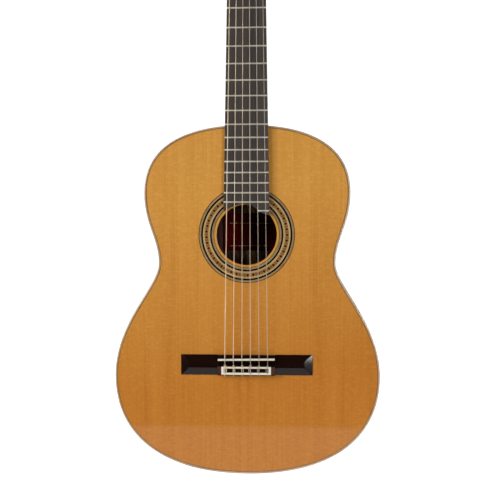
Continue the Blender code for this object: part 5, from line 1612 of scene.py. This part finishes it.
# ---- Stage
# Soft square lights: (name, place, target, size, power)
LIGHTS = (
    ("key", (-1.9, -1.6, 1.15), (0.0, 0.0, 0.35), 1.5, 48),
    ("left", (-1.9, -1.0, 0.55), (0.0, 0.0, 0.25), 1.0, 6),
    ("right", (1.15, -1.75, 0.38), (0.0, 0.0, 0.3), 0.8, 14),
    ("side", (0.66, -1.0, 0.15), (0.09, 0.0, 0.1), 0.2, 0.95),
    ("hip", (-0.9, -1.95, 0.71), (-0.09, 0.0, 0.16), 0.25, 0.8),
    ("rear", (0.9, 2.2, 1.6), (0.0, 0.0, 0.5), 1.8, 40),
    ("above", (-0.6, 1.2, 2.6), (0.0, 0.2, 0.3), 2.0, 26),
)
SURROUNDINGS = 0.02  # how bright the room looks in reflections
FLOOR_GLOW = 0.42
WHITE = 1.15
CAMERA_AIM = Vector((0.0047, FRONT_Y, 0.3122))
CAMERA_OFFSET = Vector((0.1058, -1.5637, 0.0002))
LENS = 80.9


def make_floor():
    """A pale floor just under the tail, which looks as white as the backdrop."""
    floor_z = cad_box[0].z - 0.6 * MM
    near, far, half = FRONT_Y - 0.42, 3.2, 3
    bm = bmesh.new()
    corners = ((-half, near), (half, near), (half, far), (-half, far))
    bm.faces.new([bm.verts.new((x, y, floor_z)) for x, y in corners])
    floor = new_object("floor", bm)
    g = Graph("floor_paint", Roughness=0.9, Specular_IOR_Level=0.1, Emission_Color=(1, 1, 1, 1))
    clouds = g.noise(g.place(), (3, 3, 3), 2.0)
    g.set("Base Color", g.steps(clouds, [(0.3, 0.3), (0.7, 0.34)]))
    seen = g.node("ShaderNodeLightPath")
    g.set("Emission Strength", g.add(g.times(seen, WHITE - FLOOR_GLOW), FLOOR_GLOW))
    floor.data.materials.append(g.material)


def face(obj, place, target):
    """Put a light or the camera somewhere and turn it to face a point."""
    bpy.context.scene.collection.objects.link(obj)
    obj.location = place
    obj.rotation_euler = (Vector(target) - Vector(place)).to_track_quat("-Z", "Y").to_euler()


def make_lights():
    for name, place, target, size, power in LIGHTS:
        data = bpy.data.lights.new(name, "AREA")
        data.size = size
        data.energy = power
        face(bpy.data.objects.new(name, data), place, target)


def make_world():
    """White behind everything, and a dark room for what the surroundings add."""
    world = bpy.data.worlds.new("studio")
    bpy.context.scene.world = world
    world.use_nodes = True
    tree = world.node_tree
    tree.nodes.clear()
    path = tree.nodes.new("ShaderNodeLightPath")
    mixer = tree.nodes.new("ShaderNodeMixShader")
    tree.links.new(path.outputs["Is Camera Ray"], mixer.inputs[0])
    for place, strength in ((1, SURROUNDINGS), (2, WHITE)):
        background = tree.nodes.new("ShaderNodeBackground")
        background.inputs["Color"].default_value = (1, 1, 1, 1)
        background.inputs["Strength"].default_value = strength
        tree.links.new(background.outputs[0], mixer.inputs[place])
    output = tree.nodes.new("ShaderNodeOutputWorld")
    tree.links.new(mixer.outputs[0], output.inputs["Surface"])


def make_camera():
    """The camera: at the height of the waist, and four degrees round to the treble side."""
    data = bpy.data.cameras.new("camera")
    camera = bpy.data.objects.new("camera", data)
    face(camera, CAMERA_AIM + CAMERA_OFFSET, CAMERA_AIM)
    data.sensor_width = 36
    data.lens = LENS
    scene = bpy.context.scene
    scene.camera = camera
    scene.view_settings.view_transform = "Standard"
    scene.view_settings.look = "None"
    scene.view_settings.exposure = 0.0
    scene.view_settings.gamma = 1.0


def main():
    check_frame_sizes()
    make_materials()
    make_top()
    make_rosette()
    make_edges()
    make_ribs()
    make_back()
    make_label()
    dress_inner_nodes()
    make_neck()
    make_fretboard()
    make_nut()
    make_head()
    make_tuners()
    make_bridge()
    make_strings()
    make_floor()
    make_lights()
    make_world()
    make_camera()


main()
